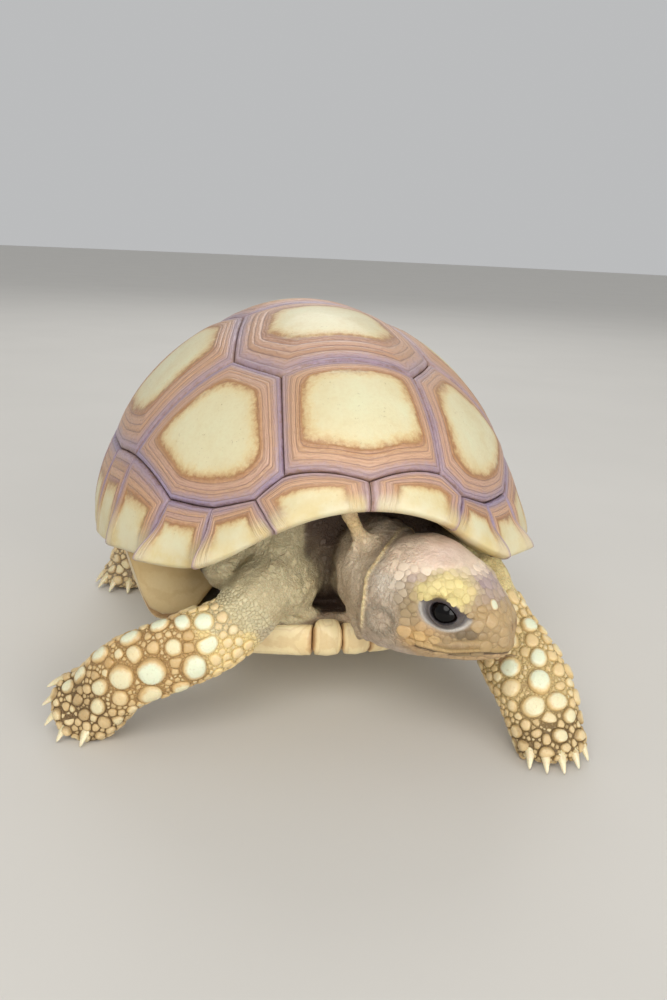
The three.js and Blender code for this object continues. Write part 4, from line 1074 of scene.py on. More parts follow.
def toes():
    """A short toe round the root of each claw."""
    made = []
    for pairs in CLAWS.values():
        for root, tip in pairs:
            root, tip = np.array(root, float), np.array(tip, float)
            step = (tip - root) / np.linalg.norm(tip - root)
            start, end = root - step * 2.6, root + step * TOE
            start[2] = max(start[2], GROUND + 1.3)
            end[2] = max(end[2], GROUND + 0.75)
            made.append(strand([start, mix(start, end, 0.5), end], [1.5, 1.45, 1.0]))
    return made


def to_arrays(mesh):
    count = len(mesh.vertices)
    points = np.empty(count * 3)
    mesh.vertices.foreach_get("co", points)
    sizes = np.empty(len(mesh.polygons), int)
    mesh.polygons.foreach_get("loop_total", sizes)
    loops = np.empty(len(mesh.loops), int)
    mesh.loops.foreach_get("vertex_index", loops)
    starts = np.concatenate([[0], np.cumsum(sizes)[:-1]])
    quads = loops[starts[sizes == 4][:, None] + np.arange(4)]
    tris = loops[starts[sizes == 3][:, None] + np.arange(3)]
    for size in sorted(set(sizes[sizes > 4])):
        first = starts[sizes == size]
        for k in range(1, size - 1):
            tris = np.concatenate([tris, loops[np.stack([first, first + k, first + k + 1], -1)]])
    return points.reshape(-1, 3), quads, tris


def bare_mesh(name, points, quads, tris):
    mesh = bpy.data.meshes.new(name)
    mesh.from_pydata(points.tolist(), [], [*quads.tolist(), *tris.tolist()])
    return mesh


def joined(parts):
    points, quads, tris, start = [], [], [], 0
    for part_points, part_quads, part_tris in parts:
        points.append(part_points)
        quads.append(part_quads + start)
        tris.append(part_tris + start)
        start += len(part_points)
    return np.concatenate(points), np.concatenate(quads), np.concatenate(tris)


def with_modifiers(mesh, *modifiers):
    """The mesh after modifiers given as (kind, settings)."""
    holder = bpy.data.objects.new("holder", mesh)
    bpy.context.scene.collection.objects.link(holder)
    for kind, settings in modifiers:
        made = holder.modifiers.new(kind, kind)
        for key, value in settings.items():
            setattr(made, key, value)
    done = holder.evaluated_get(bpy.context.evaluated_depsgraph_get()).to_mesh()
    arrays = to_arrays(done)
    bpy.data.objects.remove(holder)
    return arrays


def relax(points, edges, weight, times):
    """Each point moves towards the mean of its neighbours by its weight."""
    count = len(points)
    both = np.concatenate([edges, edges[:, ::-1]])
    degree = np.maximum(np.bincount(both[:, 0], minlength=count), 1)[:, None]
    for _ in range(times):
        total = np.stack([np.bincount(both[:, 0], points[both[:, 1], k], count) for k in range(3)], -1)
        points = points + (total / degree - points) * weight[:, None]
    return points


def normals_of(points, quads, tris):
    normals = np.zeros_like(points)
    for faces in (quads[:, [0, 1, 2]], quads[:, [0, 2, 3]], tris):
        a, b, c = (points[faces[:, k]] for k in range(3))
        face_normal = np.cross(b - a, c - a)
        for k in range(3):
            for axis in range(3):
                normals[:, axis] += np.bincount(faces[:, k], face_normal[:, axis], len(points))
    return unit(normals)


def subdivide_where(points, quads, tris, wanted):
    bm = bmesh.new()
    bm.from_mesh(bare_mesh("sub", points, quads, tris))
    bm.verts.ensure_lookup_table()
    edges = [e for e in bm.edges if wanted[e.verts[0].index] and wanted[e.verts[1].index]]
    bmesh.ops.subdivide_edges(bm, edges=edges, cuts=1, use_grid_fill=True)
    mesh = bpy.data.meshes.new("subdivided")
    bm.to_mesh(mesh)
    bm.free()
    return to_arrays(mesh)


VOXEL = 0.42
parts = [trunk_mesh(0.25), head_mesh(0.14), *(limb.mesh(COAT[name]) for name, limb in LIMBS.items()), *FOLDS,
         *toes(), *(Limb(web, (1, 1)).mesh(0) for web in WEBS)]
points, quads, tris = with_modifiers(
    bare_mesh("flesh", *joined(parts)),
    ("REMESH", {"mode": "VOXEL", "voxel_size": VOXEL, "adaptivity": 0.0}),
    ("SMOOTH", {"factor": 0.5, "iterations": 8}),
)


def hidden_share(points):
    """1 deep under the shell, where nothing can be seen, falling to 0 near its openings."""
    lengthwise, up = np.abs(-points[:, 1] - 0.5), points[:, 2]
    return smooth((25.0 - lengthwise) / 3) * smooth((up - 2 + 20 * (lengthwise < 14)) / 4)


def thin_out(points, quads, tris):
    """Fewer faces where the shell hides the trunk."""
    mesh = bare_mesh("thin", points, quads, tris)
    holder = bpy.data.objects.new("thin", mesh)
    bpy.context.scene.collection.objects.link(holder)
    group = holder.vertex_groups.new(name="hidden")
    shares = hidden_share(points) * (np.abs(points[:, 0]) < 40)
    for share in np.unique(np.round(shares, 1)):
        group.add(np.nonzero(np.round(shares, 1) == share)[0].tolist(), float(share), "REPLACE")
    made = holder.modifiers.new("thin", "DECIMATE")
    made.ratio, made.vertex_group, made.vertex_group_factor = 0.5, "hidden", 10.0
    arrays = to_arrays(holder.evaluated_get(bpy.context.evaluated_depsgraph_get()).to_mesh())
    bpy.data.objects.remove(holder)
    return arrays


points, quads, tris = thin_out(points, quads, tris)

HEAD_FROM = 0.2


def near_head(points, margin=0.0):
    h = to_head(points)
    long = np.clip((h[:, 0] - 9.5) / (12.2 + margin), -1, 1)
    return ((h[:, 0] > HEAD_FROM - margin) & (h[:, 0] < 21.4)
            & (np.abs(h[:, 1]) < 9.5 * np.sqrt(1.12 - long ** 2)) & (np.abs(h[:, 2] - 0.4) < 8.6))


def near_face(points):
    h = to_head(points)
    eye = np.hypot(h[:, 0] - EYE_AT[0], h[:, 2] - EYE_AT[2]) < 3.6
    mouth = (np.abs(h[:, 2] - jaw_line(h[:, 0])) < 0.9) & (h[:, 0] > 9)
    return near_head(points) & ((eye & (np.abs(h[:, 1]) > 3)) | mouth | (h[:, 0] > 18.2))


JAW_LINE = np.array([[8, -3], [10.5, -3.4], [13.5, -3.9], [17, -3.5], [19.4, -3.5], [23, -4.2]])


def jaw_line(ahead):
    return np.interp(ahead, JAW_LINE[:, 0], JAW_LINE[:, 1])


points, quads, tris = subdivide_where(points, quads, tris, near_head(points))
points, quads, tris = subdivide_where(points, quads, tris, near_face(points))


def edges_of(quads, tris):
    pairs = [faces[:, [k, (k + 1) % sides]] for faces, sides in ((quads, 4), (tris, 3)) for k in range(sides)]
    return np.unique(np.sort(np.concatenate(pairs), 1), axis=0)


edges = edges_of(quads, tris)
h = to_head(points)
head_share = smooth((h[:, 0] - 1.0) / 2.0) * near_head(points, 1.0)
points = relax(points, edges, 0.6 * smooth((h[:, 0] + 1) / 2) * near_head(points, 1.0), 6)


# ---- Relief of the skin ----

def wave_noise(points, scale, seed, octaves=3):
    """Smooth noise from a few dozen waves in seeded directions, about -1 to 1."""
    rng = np.random.default_rng(seed)
    total = np.zeros(len(points))
    for octave in range(octaves):
        directions = unit(rng.normal(size=(14, 3))) * scale * 2 ** octave * rng.uniform(0.6, 1.5, (14, 1))
        total += np.sin(points @ directions.T + rng.uniform(0, 6.3, 14)).sum(1) / 14 ** 0.5 / 1.7 ** octave
    return total / 2


def bell(value, width):
    return np.exp(-(value / width) ** 2)


normals = normals_of(points, quads, tris)
limb_place = {name: limb.locate(points) for name, limb in LIMBS.items()}
limb_share = {}
for name, (station, _, away) in limb_place.items():
    limb = LIMBS[name]
    size = limb.girth(station)
    limb_share[name] = smooth((1.35 - away / size) / 0.2)

lift = np.zeros(len(points))
wrinkle = wave_noise(points * [1, 1, 1.8], 1.3, 5)
ridged = 1 - 2 * np.abs(wave_noise(points * [1.4, 1, 0.8], 0.9, 8))
soft = 1 - head_share
for name in ("front_leg_right", "front_leg_left"):
    station = limb_place[name][0]
    loose = smooth((2.6 - station) / 1.2) * limb_share[name] * soft
    lift += loose * (0.16 * ridged + 0.05 * wrinkle)
for name in ("hind_leg_right", "hind_leg_left"):
    station = limb_place[name][0]
    lift += smooth((1.6 - station) / 1.0) * limb_share[name] * 0.16 * ridged
lift += limb_share["neck"] * soft * (0.14 * ridged + 0.05 * wrinkle)
# Fine creases of the shoulder run down the arm.
arm_way = unit(body(-0.62, 0.55, -0.5))
stretched = points - np.outer(points @ arm_way, arm_way) * 0.82
creases = 1 - 2 * np.abs(wave_noise(stretched, 1.5, 9, 2))
shoulder = smooth((-points[:, 1] - 23) / 3) * smooth((-2.5 - points[:, 0]) / 2) * soft
shoulder *= 1 - smooth((limb_place["front_leg_right"][0] - 2.5) / 0.4) * limb_share["front_leg_right"]
lift += shoulder * 0.24 * creases
lift += smooth((-points[:, 1] - 26.8) / 2) * 0.05 * wrinkle

# The head, worked out on |left| so that both sides match.
h = to_head(points)
side = np.abs(h[:, 1])
eye_x, eye_z = h[:, 0] - EYE_AT[0], h[:, 2] - EYE_AT[2] - EYE_SHIFT
eye_u, eye_v = eye_axes(h)
lid_high = np.where(eye_v > 0, LID_UPPER, LID_LOWER) * (1 - 0.25 * np.clip(eye_u / LID_LONG, 0, 1))
opening = np.sqrt((eye_u / LID_LONG) ** 2 + (eye_v / lid_high) ** 2)
on_side = smooth((side - 2.5) / 1.5) * near_head(points, 1.0)

collar = collar_line(h)
lift += (near_head(points, 2.5) * smooth((8.6 - h[:, 2]) / 2)
         * (0.24 * bell(collar, 0.21) - 0.06 * bell(collar - 0.45, 0.22)))
mouth = h[:, 2] - jaw_line(h[:, 0])
mouth_share = smooth((h[:, 0] - 9.3) / 1.2) * near_head(points)
lift += mouth_share * (-0.36 * bell(mouth, 0.16) + 0.16 * bell(mouth - 0.5, 0.42)
                       - 0.1 * smooth((-mouth - 0.1) / 0.4))
lift += near_head(points) * -0.22 * bell(np.hypot(h[:, 0] - 9.6, h[:, 2] + 2.9), 0.5)
nostril = nostril_distance(h)
lift += near_head(points) * (-0.45 * bell(nostril, 0.3) + 0.1 * bell(nostril - 0.55, 0.22))
ear = ear_distance(h)
lift += on_side * (0.13 * bell(ear - 1.7, 0.4) - 0.16 * smooth((1.6 - ear) / 0.8))
brow = h[:, 2] - (4.7 - 0.06 * (h[:, 0] - 13) ** 2)
lift += (on_side * smooth((3.6 - np.abs(h[:, 0] - 13.2)) / 1.2)
         * (0.3 * bell(brow, 0.8) - 0.12 * bell(brow - 1.25, 0.3)))
over_eye = smooth((eye_v - 0.1) / 0.6)
lift += on_side * -0.14 * bell(opening - mix(1.95, 1.42, over_eye), 0.15) * smooth((2.6 - opening) / 0.6)
lift += on_side * over_eye * 0.22 * bell(opening - 1.85, 0.32)
# Folds of the cheek follow the mouth.
cheek = (smooth((h[:, 0] - 8.6) / 1.5) * smooth((18.6 - h[:, 0]) / 1.6) * smooth((mouth - 0.5) / 0.3)
         * smooth((2.5 - mouth) / 0.6))
drift = wave_noise(points * [0.5, 0.5, 1], 0.5, 31, 2)
lift += on_side * cheek * 0.13 * (1 - 2 * np.abs(np.sin(mouth * 2.7 + 1.6 * drift)))
throat = smooth((-h[:, 2] - 3.2) / 1.5) * smooth((10 - h[:, 0]) / 4) * near_head(points, 1.0)
lift += throat * 0.1 * ridged
points = points + normals * lift[:, None]

# Lids close over the eyeball, and the skin inside them goes behind it.
h = to_head(points)
hand = np.sign(h[:, 1])
lid_radius = EYE_RADIUS + 0.24
across = eye_x ** 2 + (eye_z + EYE_SHIFT) ** 2
ball = EYE_AT[1] + np.sqrt(np.maximum(lid_radius ** 2 - across, 0))
ball = np.where(across < lid_radius ** 2, ball, 0)
# The outer of the head and the lid, with a soft corner between them.
sharp, around = 5.0, 6
surface = np.log(np.exp(sharp * np.clip(np.abs(h[:, 1]) - around, -6, 6))
                 + np.exp(sharp * (np.maximum(ball, 3) - around))) / sharp + around
surface = np.where((across < 9) & (on_side > 0.5), surface, np.abs(h[:, 1]))
rim = 0.16 * bell(opening - 1.13, 0.12) - 0.1 * bell(opening - 1.42, 0.1)
inside = smooth((1.03 - opening) / 0.1)
behind = EYE_AT[1] + np.sqrt(np.maximum((EYE_RADIUS - 0.35) ** 2 - across, 0.05))
surface = mix(surface + rim * (on_side > 0.5), behind, inside * (on_side > 0.5))
h[:, 1] = np.where((across < 12) & (on_side > 0.5), hand * surface, h[:, 1])
points = np.where(near_head(points)[:, None], in_head(h), points)
points[:, 2] = np.maximum(points[:, 2], GROUND)

# ---- Skin ----

def skin_material():
    s = Shader("skin", 0.5, Subsurface_Weight=0.18, Subsurface_Scale=0.0012,
               Subsurface_Radius=(1, 0.5, 0.3))
    tint = s.node("ShaderNodeAttribute", "Color", {"attribute_name": "tint"})
    pebble, loose = s.value("pebble"), s.value("loose")
    mottle = s.noise(0.55, 4, 0.6)
    base = s.blend(s.span(mottle, 0.3, 0.75, 0.0, 0.3), tint, s.blend(1.0, tint, "b09a86", "MULTIPLY"))
    cells = s.cells(2.1, "DISTANCE_TO_EDGE")
    edge = s.rest(s.span(cells, 0.0, 0.12))
    base = s.blend(s.times(edge, s.times(pebble, 0.45)), base,
                   s.blend(1.0, tint, "8a7055", "MULTIPLY"))
    fine = s.noise(4.5, 4, 0.7)
    base = s.blend(s.span(fine, 0.4, 0.8, 0.0, 0.18), base, s.blend(1.0, tint, "d9c7b4", "MULTIPLY"))
    creased = s.math("ABSOLUTE", s.math("SUBTRACT", s.noise(0.85, 5, 0.62), 0.5))
    line = s.times(s.span(creased, 0.035, 0.0), loose)
    base = s.blend(s.times(line, 0.4), base, s.blend(1.0, tint, "8f7a66", "MULTIPLY"))
    height = s.math("ADD", s.times(s.span(cells, 0.0, 0.3), pebble), s.times(fine, 0.5))
    height = s.math("ADD", height, s.times(s.times(s.span(creased, 0.0, 0.12), loose), 1.3))
    return s.finish(base, height, 0.1, s.span(fine, 0.2, 0.8, 0.4, 0.6))


def rgb(code):
    return np.array(linear(code)[:3])


def paint(colour, share, code):
    return mix(colour, rgb(code), np.clip(share, 0, 1)[:, None])


def lid_reach(h):
    """1 at the edge of the eye's opening and growing outward, and the height over its long axis."""
    u, v = eye_axes(h)
    return np.sqrt((u / LID_LONG) ** 2 + (v / np.where(v > 0, LID_UPPER, LID_LOWER)) ** 2), v


def over_right_arm(points):
    """1 above and inward of the right elbow, falling to 0 below it and beyond it."""
    return smooth((points[:, 0] + 19) / 2) * smooth((points[:, 2] - 5.5) / 2)


# Colours along each limb: the station where one starts, over how many stations it blends in, and its code.
HIND_COLOURS = [(1.2, 1.0, "a08d70")]
LIMB_COLOURS = {
    # The dark brown at the end of each foreleg is partly the foot's own colour and partly painted shade, low down
    # by the ground.
    "front_leg_right": [(0.7, 0.5, "d6c9a2"), (2.3, 0.35, "c4b799"), (2.8, 0.3, "ecd495"),
                        (3.9, 0.5, "b8955f"), (5.8, 1.0, "7f6641")],
    "front_leg_left": [(0.4, 0.6, "efdda2"), (2.2, 0.6, "cbb37c"), (5.0, 1.2, "7d653b")],
    "hind_leg_right": HIND_COLOURS, "hind_leg_left": HIND_COLOURS,
    "neck": [(2.1, 0.8, "cfbb9f")], "tail": [(0, 0.6, "a08d70")],
}


def face_colour(points, h):
    """Colour of the head, the same on both sides but for its blotches."""
    ahead, left, above = h[:, 0], np.abs(h[:, 1]), h[:, 2]
    on_cheek = left > 3
    over = above - jaw_line(ahead)
    blotch = 0.5 + 0.5 * wave_noise(points, 0.8, 21)
    yellow = smooth((2.9 - np.hypot((ahead - 12.6) / 1.5, above - 3.7)) / 1.4)
    snout = smooth((ahead - 14.6) / 2.2) * smooth((2.6 - above) / 1.4) * smooth((above + 3.4) / 0.8)
    over_mouth = smooth(over / 0.3) * smooth((1.3 - above + jaw_line(ahead)) / 0.6)
    folds = (smooth((ahead - 8.8) / 1.5) * smooth((18.4 - ahead) / 1.6) * smooth((over - 0.3) / 0.3)
             * smooth((2.6 - over) / 0.7))
    stripes = 0.5 + 0.5 * np.cos(over * 5.4 + 3.2 * wave_noise(points * [0.5, 0.5, 1], 0.5, 31, 2))
    lower = smooth((jaw_line(ahead) - above - 0.1) / 0.3) * smooth((ahead - 8.5) / 1.5)
    lid, eye_v = lid_reach(h)
    lid_edge = mix(2.0, 1.42, smooth((eye_v - 0.1) / 0.6))
    inner_lid = mix(1.3, 1.5, smooth(eye_v / 0.5))
    colour = np.broadcast_to(rgb("a89070"), points.shape).copy()
    for share, code in (
        # Back of the cheek, its pale spot, the crown, painted lighter than its own pale colour as painted light
        # from above, and the line over the brow.
        (smooth((9.5 - ahead) / 3), "c2b09a"),
        (bell(np.hypot((ahead - 5.2) / 1.9, (above - 3.9) / 1.7), 1.0) * (left > 2) * 0.85, "e8decd"),
        (smooth((above - 3.8) / 1.6) * smooth((ahead - 3.5) / 2), "e9d3bb"),
        (bell(np.hypot((ahead - 10.6) / 3.2, (above - 7.6) / 1.5), 1.0) * 0.6, "e2c8bd"),
        (0.75 * bell(above - 5.3 + 0.05 * (ahead - 12) ** 2, 0.45) * smooth((ahead - 7.5) / 2), "937a82"),
        # Yellow over the eye, then the snout.
        (yellow * on_cheek * (0.7 + 0.3 * blotch), "e2cf8c"),
        (bell(ahead - 17.2, 1.3) * smooth((above - 1.6) / 1.2) * 0.7, "bdaaa8"),
        (snout * (0.55 + 0.4 * blotch), "b89a6b"),
        (bell(np.hypot(ahead - 16.8, above - 2.2), 1.1) * 0.8, "a98c5c"),
        # In front of the eye a painted shadow that reaches below it, then behind the eye, and under it.
        (bell(np.hypot((ahead - 15.5) / 1.9, above + 0.8), 1.1) * 0.9, "6b5b43"),
        (bell(np.hypot(ahead - 8.9, above - 1.4), 1.5) * 0.75, "8f7b57"),
        (bell(np.hypot((ahead - 10.3) / 1.5, above + 1.9), 1.35) * 0.8, "d6a45c"),
        # The mouth with the folds over it, the lower jaw and the throat.
        (over_mouth * smooth((ahead - 11) / 2) * 0.7, "a58a58"),
        (folds * stripes * 0.5, "826a3f"),
        (folds * (1 - stripes) * 0.4, "c9ac78"),
        (bell(over - 0.05, 0.26) * smooth((ahead - 9.2) / 1), "54401f"),
        (lower, "bb9c74"),
        (smooth((-above - 3.6) / 1.2) * smooth((10.5 - ahead) / 2.5), "d2c0ae"),
        (bell(ear_distance(h) - 1.6, 0.45) * 0.6, "8f8674"),
        # The lids from their outer edge inward, then the nostrils.
        (smooth((lid_edge - lid) / 0.25) * on_cheek, "5f5957"),
        (smooth((inner_lid - lid) / 0.25) * on_cheek * 0.75, "554d4d"),
        # Painted highlight: a pale line along the crease of the lower lid.
        (bell(lid - 1.8, 0.16) * on_cheek * smooth((-eye_v + 0.2) / 0.5) * 0.8, "cfcac2"),
        (bell(lid - 1.1, 0.2) * on_cheek * smooth(eye_v / 0.5) * 0.85, "3d3336"),
        (smooth((1.12 - lid) / 0.08) * on_cheek, "201a1d"),
        # Painted shade: the nostrils are painted dark brown for the shade in their hollows.
        (bell(nostril_distance(h), 0.4), "3a2c22"),
    ):
        colour = paint(colour, share, code)
    return colour


def markings(points):
    """Colour of skin and scales at points in body millimetres."""
    h = to_head(points)
    head = near_head(points, 0.6) * smooth((h[:, 0] - 1.6) / 1.4)
    side, forward = points[:, 0], -points[:, 1]
    colour = np.broadcast_to(rgb("a8957a"), (len(points), 3)).copy()
    # Painted shade: skin under the front of the shell, in the hollow between the neck and the forelegs, is
    # painted dark brown.
    deep = smooth((31.5 - forward) / 3.5) * smooth((forward - 5) / 5)
    colour = paint(colour, deep * 0.9, "432c20")
    for name, limb in LIMBS.items():
        station, _, away = limb.locate(points)
        share = smooth((1.3 - away / limb.girth(station)) / 0.15)
        for start, run, code in LIMB_COLOURS[name]:
            colour = paint(colour, share * smooth((station - start) / run), code)
    # Pale skin over the right shoulder, painted lighter than its own colour as painted light where the shell
    # shades it.
    shoulder = (smooth((-side - 4.6) / 0.8) * smooth((forward - 24.5) / 2)
                * smooth((over_right_arm(points) - 0.2) / 0.5))
    colour = paint(colour, shoulder * 0.9, "d0c49e")
    # Pale skin of the nape, painted lighter than its own colour as painted light where the shell shades it.
    pale_nape_and_painted_light = (smooth((h[:, 0] + 5) / 2) * smooth((2.6 - h[:, 0]) / 1.2) * smooth((h[:, 2] + 1) / 4)
            * smooth((forward - 28) / 2))
    colour = paint(colour, pale_nape_and_painted_light * smooth((side + 2.4) / 1.2) * 0.9, "ecdac0")
    # Yellow edge of the hood and the fold behind the head.
    hood = bell(np.linalg.norm(points - body(-0.4, 34.6, 20.2), axis=-1), 2.9)
    colour = paint(colour, hood, "ecd09a")
    collar = (near_head(points, 2.5) * bell(collar_line(h), 0.28) * smooth((h[:, 2] + 4) / 3)
              * smooth((9 - h[:, 2]) / 2))
    return paint(mix(colour, face_colour(points, h), head[:, None]), collar * 0.9, "efd9a4")


def add_tint(mesh, colours):
    attribute = mesh.attributes.new("tint", "FLOAT_COLOR", "POINT")
    opaque = np.concatenate([colours, np.ones((len(colours), 1))], 1)
    attribute.data.foreach_set("color", opaque.astype(np.float32).ravel())


SKIN = skin_material()
scaly = [limb_share[name] * smooth((limb_place[name][0] - start) / 0.5)
         for name, start in (("front_leg_right", 2.2), ("front_leg_left", 1.8), ("hind_leg_right", 1.2),
                             ("hind_leg_left", 1.2), ("tail", 0.4))]
pebble = np.clip(np.max(scaly, 0) * (1 - head_share) + 0.12, 0, 1)
loose = np.clip(1 - np.max(scaly, 0) - 0.75 * smooth((to_head(points)[:, 0] - 7) / 3) * head_share, 0.1, 1)
skin = add_mesh("skin", points, quads, tris, SKIN, {"pebble": pebble, "loose": loose})
add_tint(skin.data, markings(points))
place(skin, "skin", "trunk", "neck", "tail", "front_leg_right", "front_leg_left", "hind_leg_right",
      "hind_leg_left", "head", "lower_jaw")

# ---- Eyes ----

def eye_material():
    s = Shader("eye", 0.12, Coat_Weight=0.1, Coat_Roughness=0.05, Specular_IOR_Level=0.16)
    reach = s.value("iris")
    iris = s.noise(1.6, 4, 0.6)
    base = s.ramp(reach, [
        (0.0, "040304"), (0.5, "060505"), (0.62, "120c0a"), (0.8, "1a110d"), (1.0, "0c090a"),
    ])
    base = s.blend(s.span(iris, 0.4, 0.7, 0.0, 0.4), base, "120c0b")
    return s.finish(base)


EYE = eye_material()
for word, hand in SIDES:
    rows, sides = 26, 48
    fall = np.linspace(0, math.pi, rows + 2)[1:-1]
    turn = circle(sides)
    ball = np.stack(np.broadcast_arrays(np.sin(fall)[:, None] * np.cos(turn), np.cos(fall)[:, None],
                                        np.sin(fall)[:, None] * np.sin(turn)), -1).reshape(-1, 3)
    ball = np.concatenate([ball, [[0, 1, 0], [0, -1, 0]]]) * EYE_RADIUS
    cornea = smooth((ball[:, 1] / EYE_RADIUS - 0.55) / 0.3) * 0.06
    ball = ball * (1 + cornea[:, None] / EYE_RADIUS)
    iris = np.clip(np.arccos(np.clip(ball[:, 1] / np.linalg.norm(ball, axis=-1), -1, 1)) / 1.2, 0, 1)
    ball[:, 1] *= hand
    eye = add_mesh("eyeball_" + word, in_head(ball + EYE_AT * [1, hand, 1]), tube_faces(rows, sides),
                   cap_faces(rows, sides), EYE, {"iris": iris})
    place(eye, "eye", "eye_" + word)

# ---- Claws ----

def claw_material():
    s = Shader("claw_horn", 0.3, Subsurface_Weight=0.15, Subsurface_Scale=0.0008, Coat_Weight=0.3)
    along = s.value("along")
    grain = s.noise(1.5, 4, 0.6)
    base = s.ramp(s.around(grain, 0.3, along), [
        (0.0, "9a8054"), (0.35, "cdb88a"), (0.7, "dfd2aa"), (1.0, "e8dfc0"),
    ])
    streak = s.noise(5, 3, 0.6)
    base = s.blend(s.span(streak, 0.45, 0.75, 0.0, 0.3), base, "a58a5c")
    return s.finish(base, streak, 0.03)


CLAW = claw_material()
CLAW_SIDES = 20
# How much of the way to its tip a claw goes.
CLAW_SHOWN = 0.88
CLAW_SHARES = np.array([0, 0.12, 0.28, 0.45, 0.6, 0.74, 0.86, 0.94])


def claw(name, root, tip):
    root, tip = body(*root), body(*tip)
    tip = mix(root, tip, CLAW_SHOWN)
    start = root + unit(root - tip) * 1.4
    path = start + (tip - start) * CLAW_SHARES[:, None]
    path[:, 2] += 0.6 * np.sin(CLAW_SHARES * math.pi)
    along = unit(np.gradient(path, axis=0))
    across = unit(np.cross([0, 0, 1], along))
    over = np.cross(along, across)
    radius = 0.92 * (1 - CLAW_SHARES ** 1.7) + 0.1
    turn = circle(CLAW_SIDES)
    high = radius[:, None] * 0.85 * np.where(np.sin(turn) < 0, 0.75, 1) * np.sin(turn)
    rings = (path[:, None] + across[:, None] * (radius[:, None] * np.cos(turn))[..., None]
             + over[:, None] * high[..., None])
    points = np.concatenate([rings.reshape(-1, 3), [start - along[0] * 0.3, tip]])
    points[:, 2] = np.maximum(points[:, 2], GROUND)
    count = len(path)
    values = {"along": np.append(np.repeat(CLAW_SHARES, CLAW_SIDES), [0, 1])}
    made = add_mesh(name, points, tube_faces(count, CLAW_SIDES), cap_faces(count, CLAW_SIDES), CLAW, values)
    return place(made, "limb")


for name, pairs in CLAWS.items():
    for i, (root, tip) in enumerate(pairs):
        claw(f"claw_{name}_{i + 1}", root, tip)

# ---- Scales: closed pads of horn over the skin, packed so that neighbours share a thin furrow ----

SKIN_TREE = BVHTree.FromPolygons(points.tolist(), [*quads.tolist(), *tris.tolist()])
SKIN_FACES = np.concatenate([quads[:, :3], quads[:, [0, 2, 3]], tris])
SKIN_POINTS = points
# Width of a scale's patch on the OFBake map, and how far out on it each ring lies.
PATCH = 0.003
PATCH_SHARES = np.array([1.0, 0.92, 0.85, 0.7, 0.4])
# Rings of a pad from its edge inward: share of its reach, and share of its height.
PAD_RINGS = ((1.0, 0.25), (0.94, 0.62), (0.76, 0.9), (0.42, 1.02))
PAD_DOME = np.array([1 - share ** 2 for share, _ in PAD_RINGS])


def scale_material():
    s = Shader("scale_horn", 0.42, Subsurface_Weight=0.15, Subsurface_Scale=0.0009, Coat_Weight=0.12,
               Subsurface_Radius=(1, 0.65, 0.4))
    tint = s.node("ShaderNodeAttribute", "Color", {"attribute_name": "tint"})
    reach = s.value("reach")
    pale = s.value("pale")
    grain = s.noise(1.6, 4, 0.65)
    wander = s.around(grain, 0.35, reach)
    centre = s.ramp(pale, [(0.0, "d0b080"), (0.35, "dcc293"), (0.7, "ded4ad"), (1.0, "dbe1c6")])
    peach = s.blend(s.span(pale, 0.02, 0.3, 0.0, 0.8), tint, s.blend(0.35, "dfc18a", tint))
    amount = s.times(s.span(wander, 1.0, 0.6), s.span(pale, 0.0, 0.5, 0.0, 0.94))
    base = s.blend(amount, peach, centre)
    # Painted shade: each scale is darkened towards its rim, where it curves down into its furrow.
    rim = s.times(s.span(wander, 0.96, 1.1, 0.0, 0.3), s.span(pale, 0.0, 0.3, 0.5, 1.0))
    base = s.blend(rim, base, s.blend(1.0, tint, "b0946a", "MULTIPLY"))
    fleck = s.span(s.noise(3.4, 3, 0.6), 0.56, 0.74, 0.0, 0.28)
    base = s.blend(fleck, base, s.blend(1.0, tint, "c9a878", "MULTIPLY"))
    rings = s.math("SINE", s.math("MULTIPLY_ADD", grain, 3.0, s.times(reach, 26.0)))
    height = s.math("MULTIPLY_ADD", rings, 0.12, s.times(grain, 0.6))
    return s.finish(base, height, 0.06, s.span(grain, 0.2, 0.8, 0.34, 0.52))


SCALE = scale_material()


def scatter(rng, share, count):
    """Random points on the skin, and their normals, where share of each skin point allows."""
    corners = SKIN_POINTS[SKIN_FACES]
    area = np.linalg.norm(np.cross(corners[:, 1] - corners[:, 0], corners[:, 2] - corners[:, 0]), axis=-1)
    weight = area * share[SKIN_FACES].min(1)
    chosen = rng.choice(len(SKIN_FACES), count, p=weight / weight.sum())
    a, b = rng.random((2, count))
    flip = a + b > 1
    a, b = np.where(flip, 1 - a, a), np.where(flip, 1 - b, b)
    corners = corners[chosen]
    found = (corners[:, 0] + (corners[:, 1] - corners[:, 0]) * a[:, None]
             + (corners[:, 2] - corners[:, 0]) * b[:, None])
    return found, unit(SKIN_NORMALS[SKIN_FACES[chosen]].sum(1))


SKIN_NORMALS = normals_of(points, quads, tris)


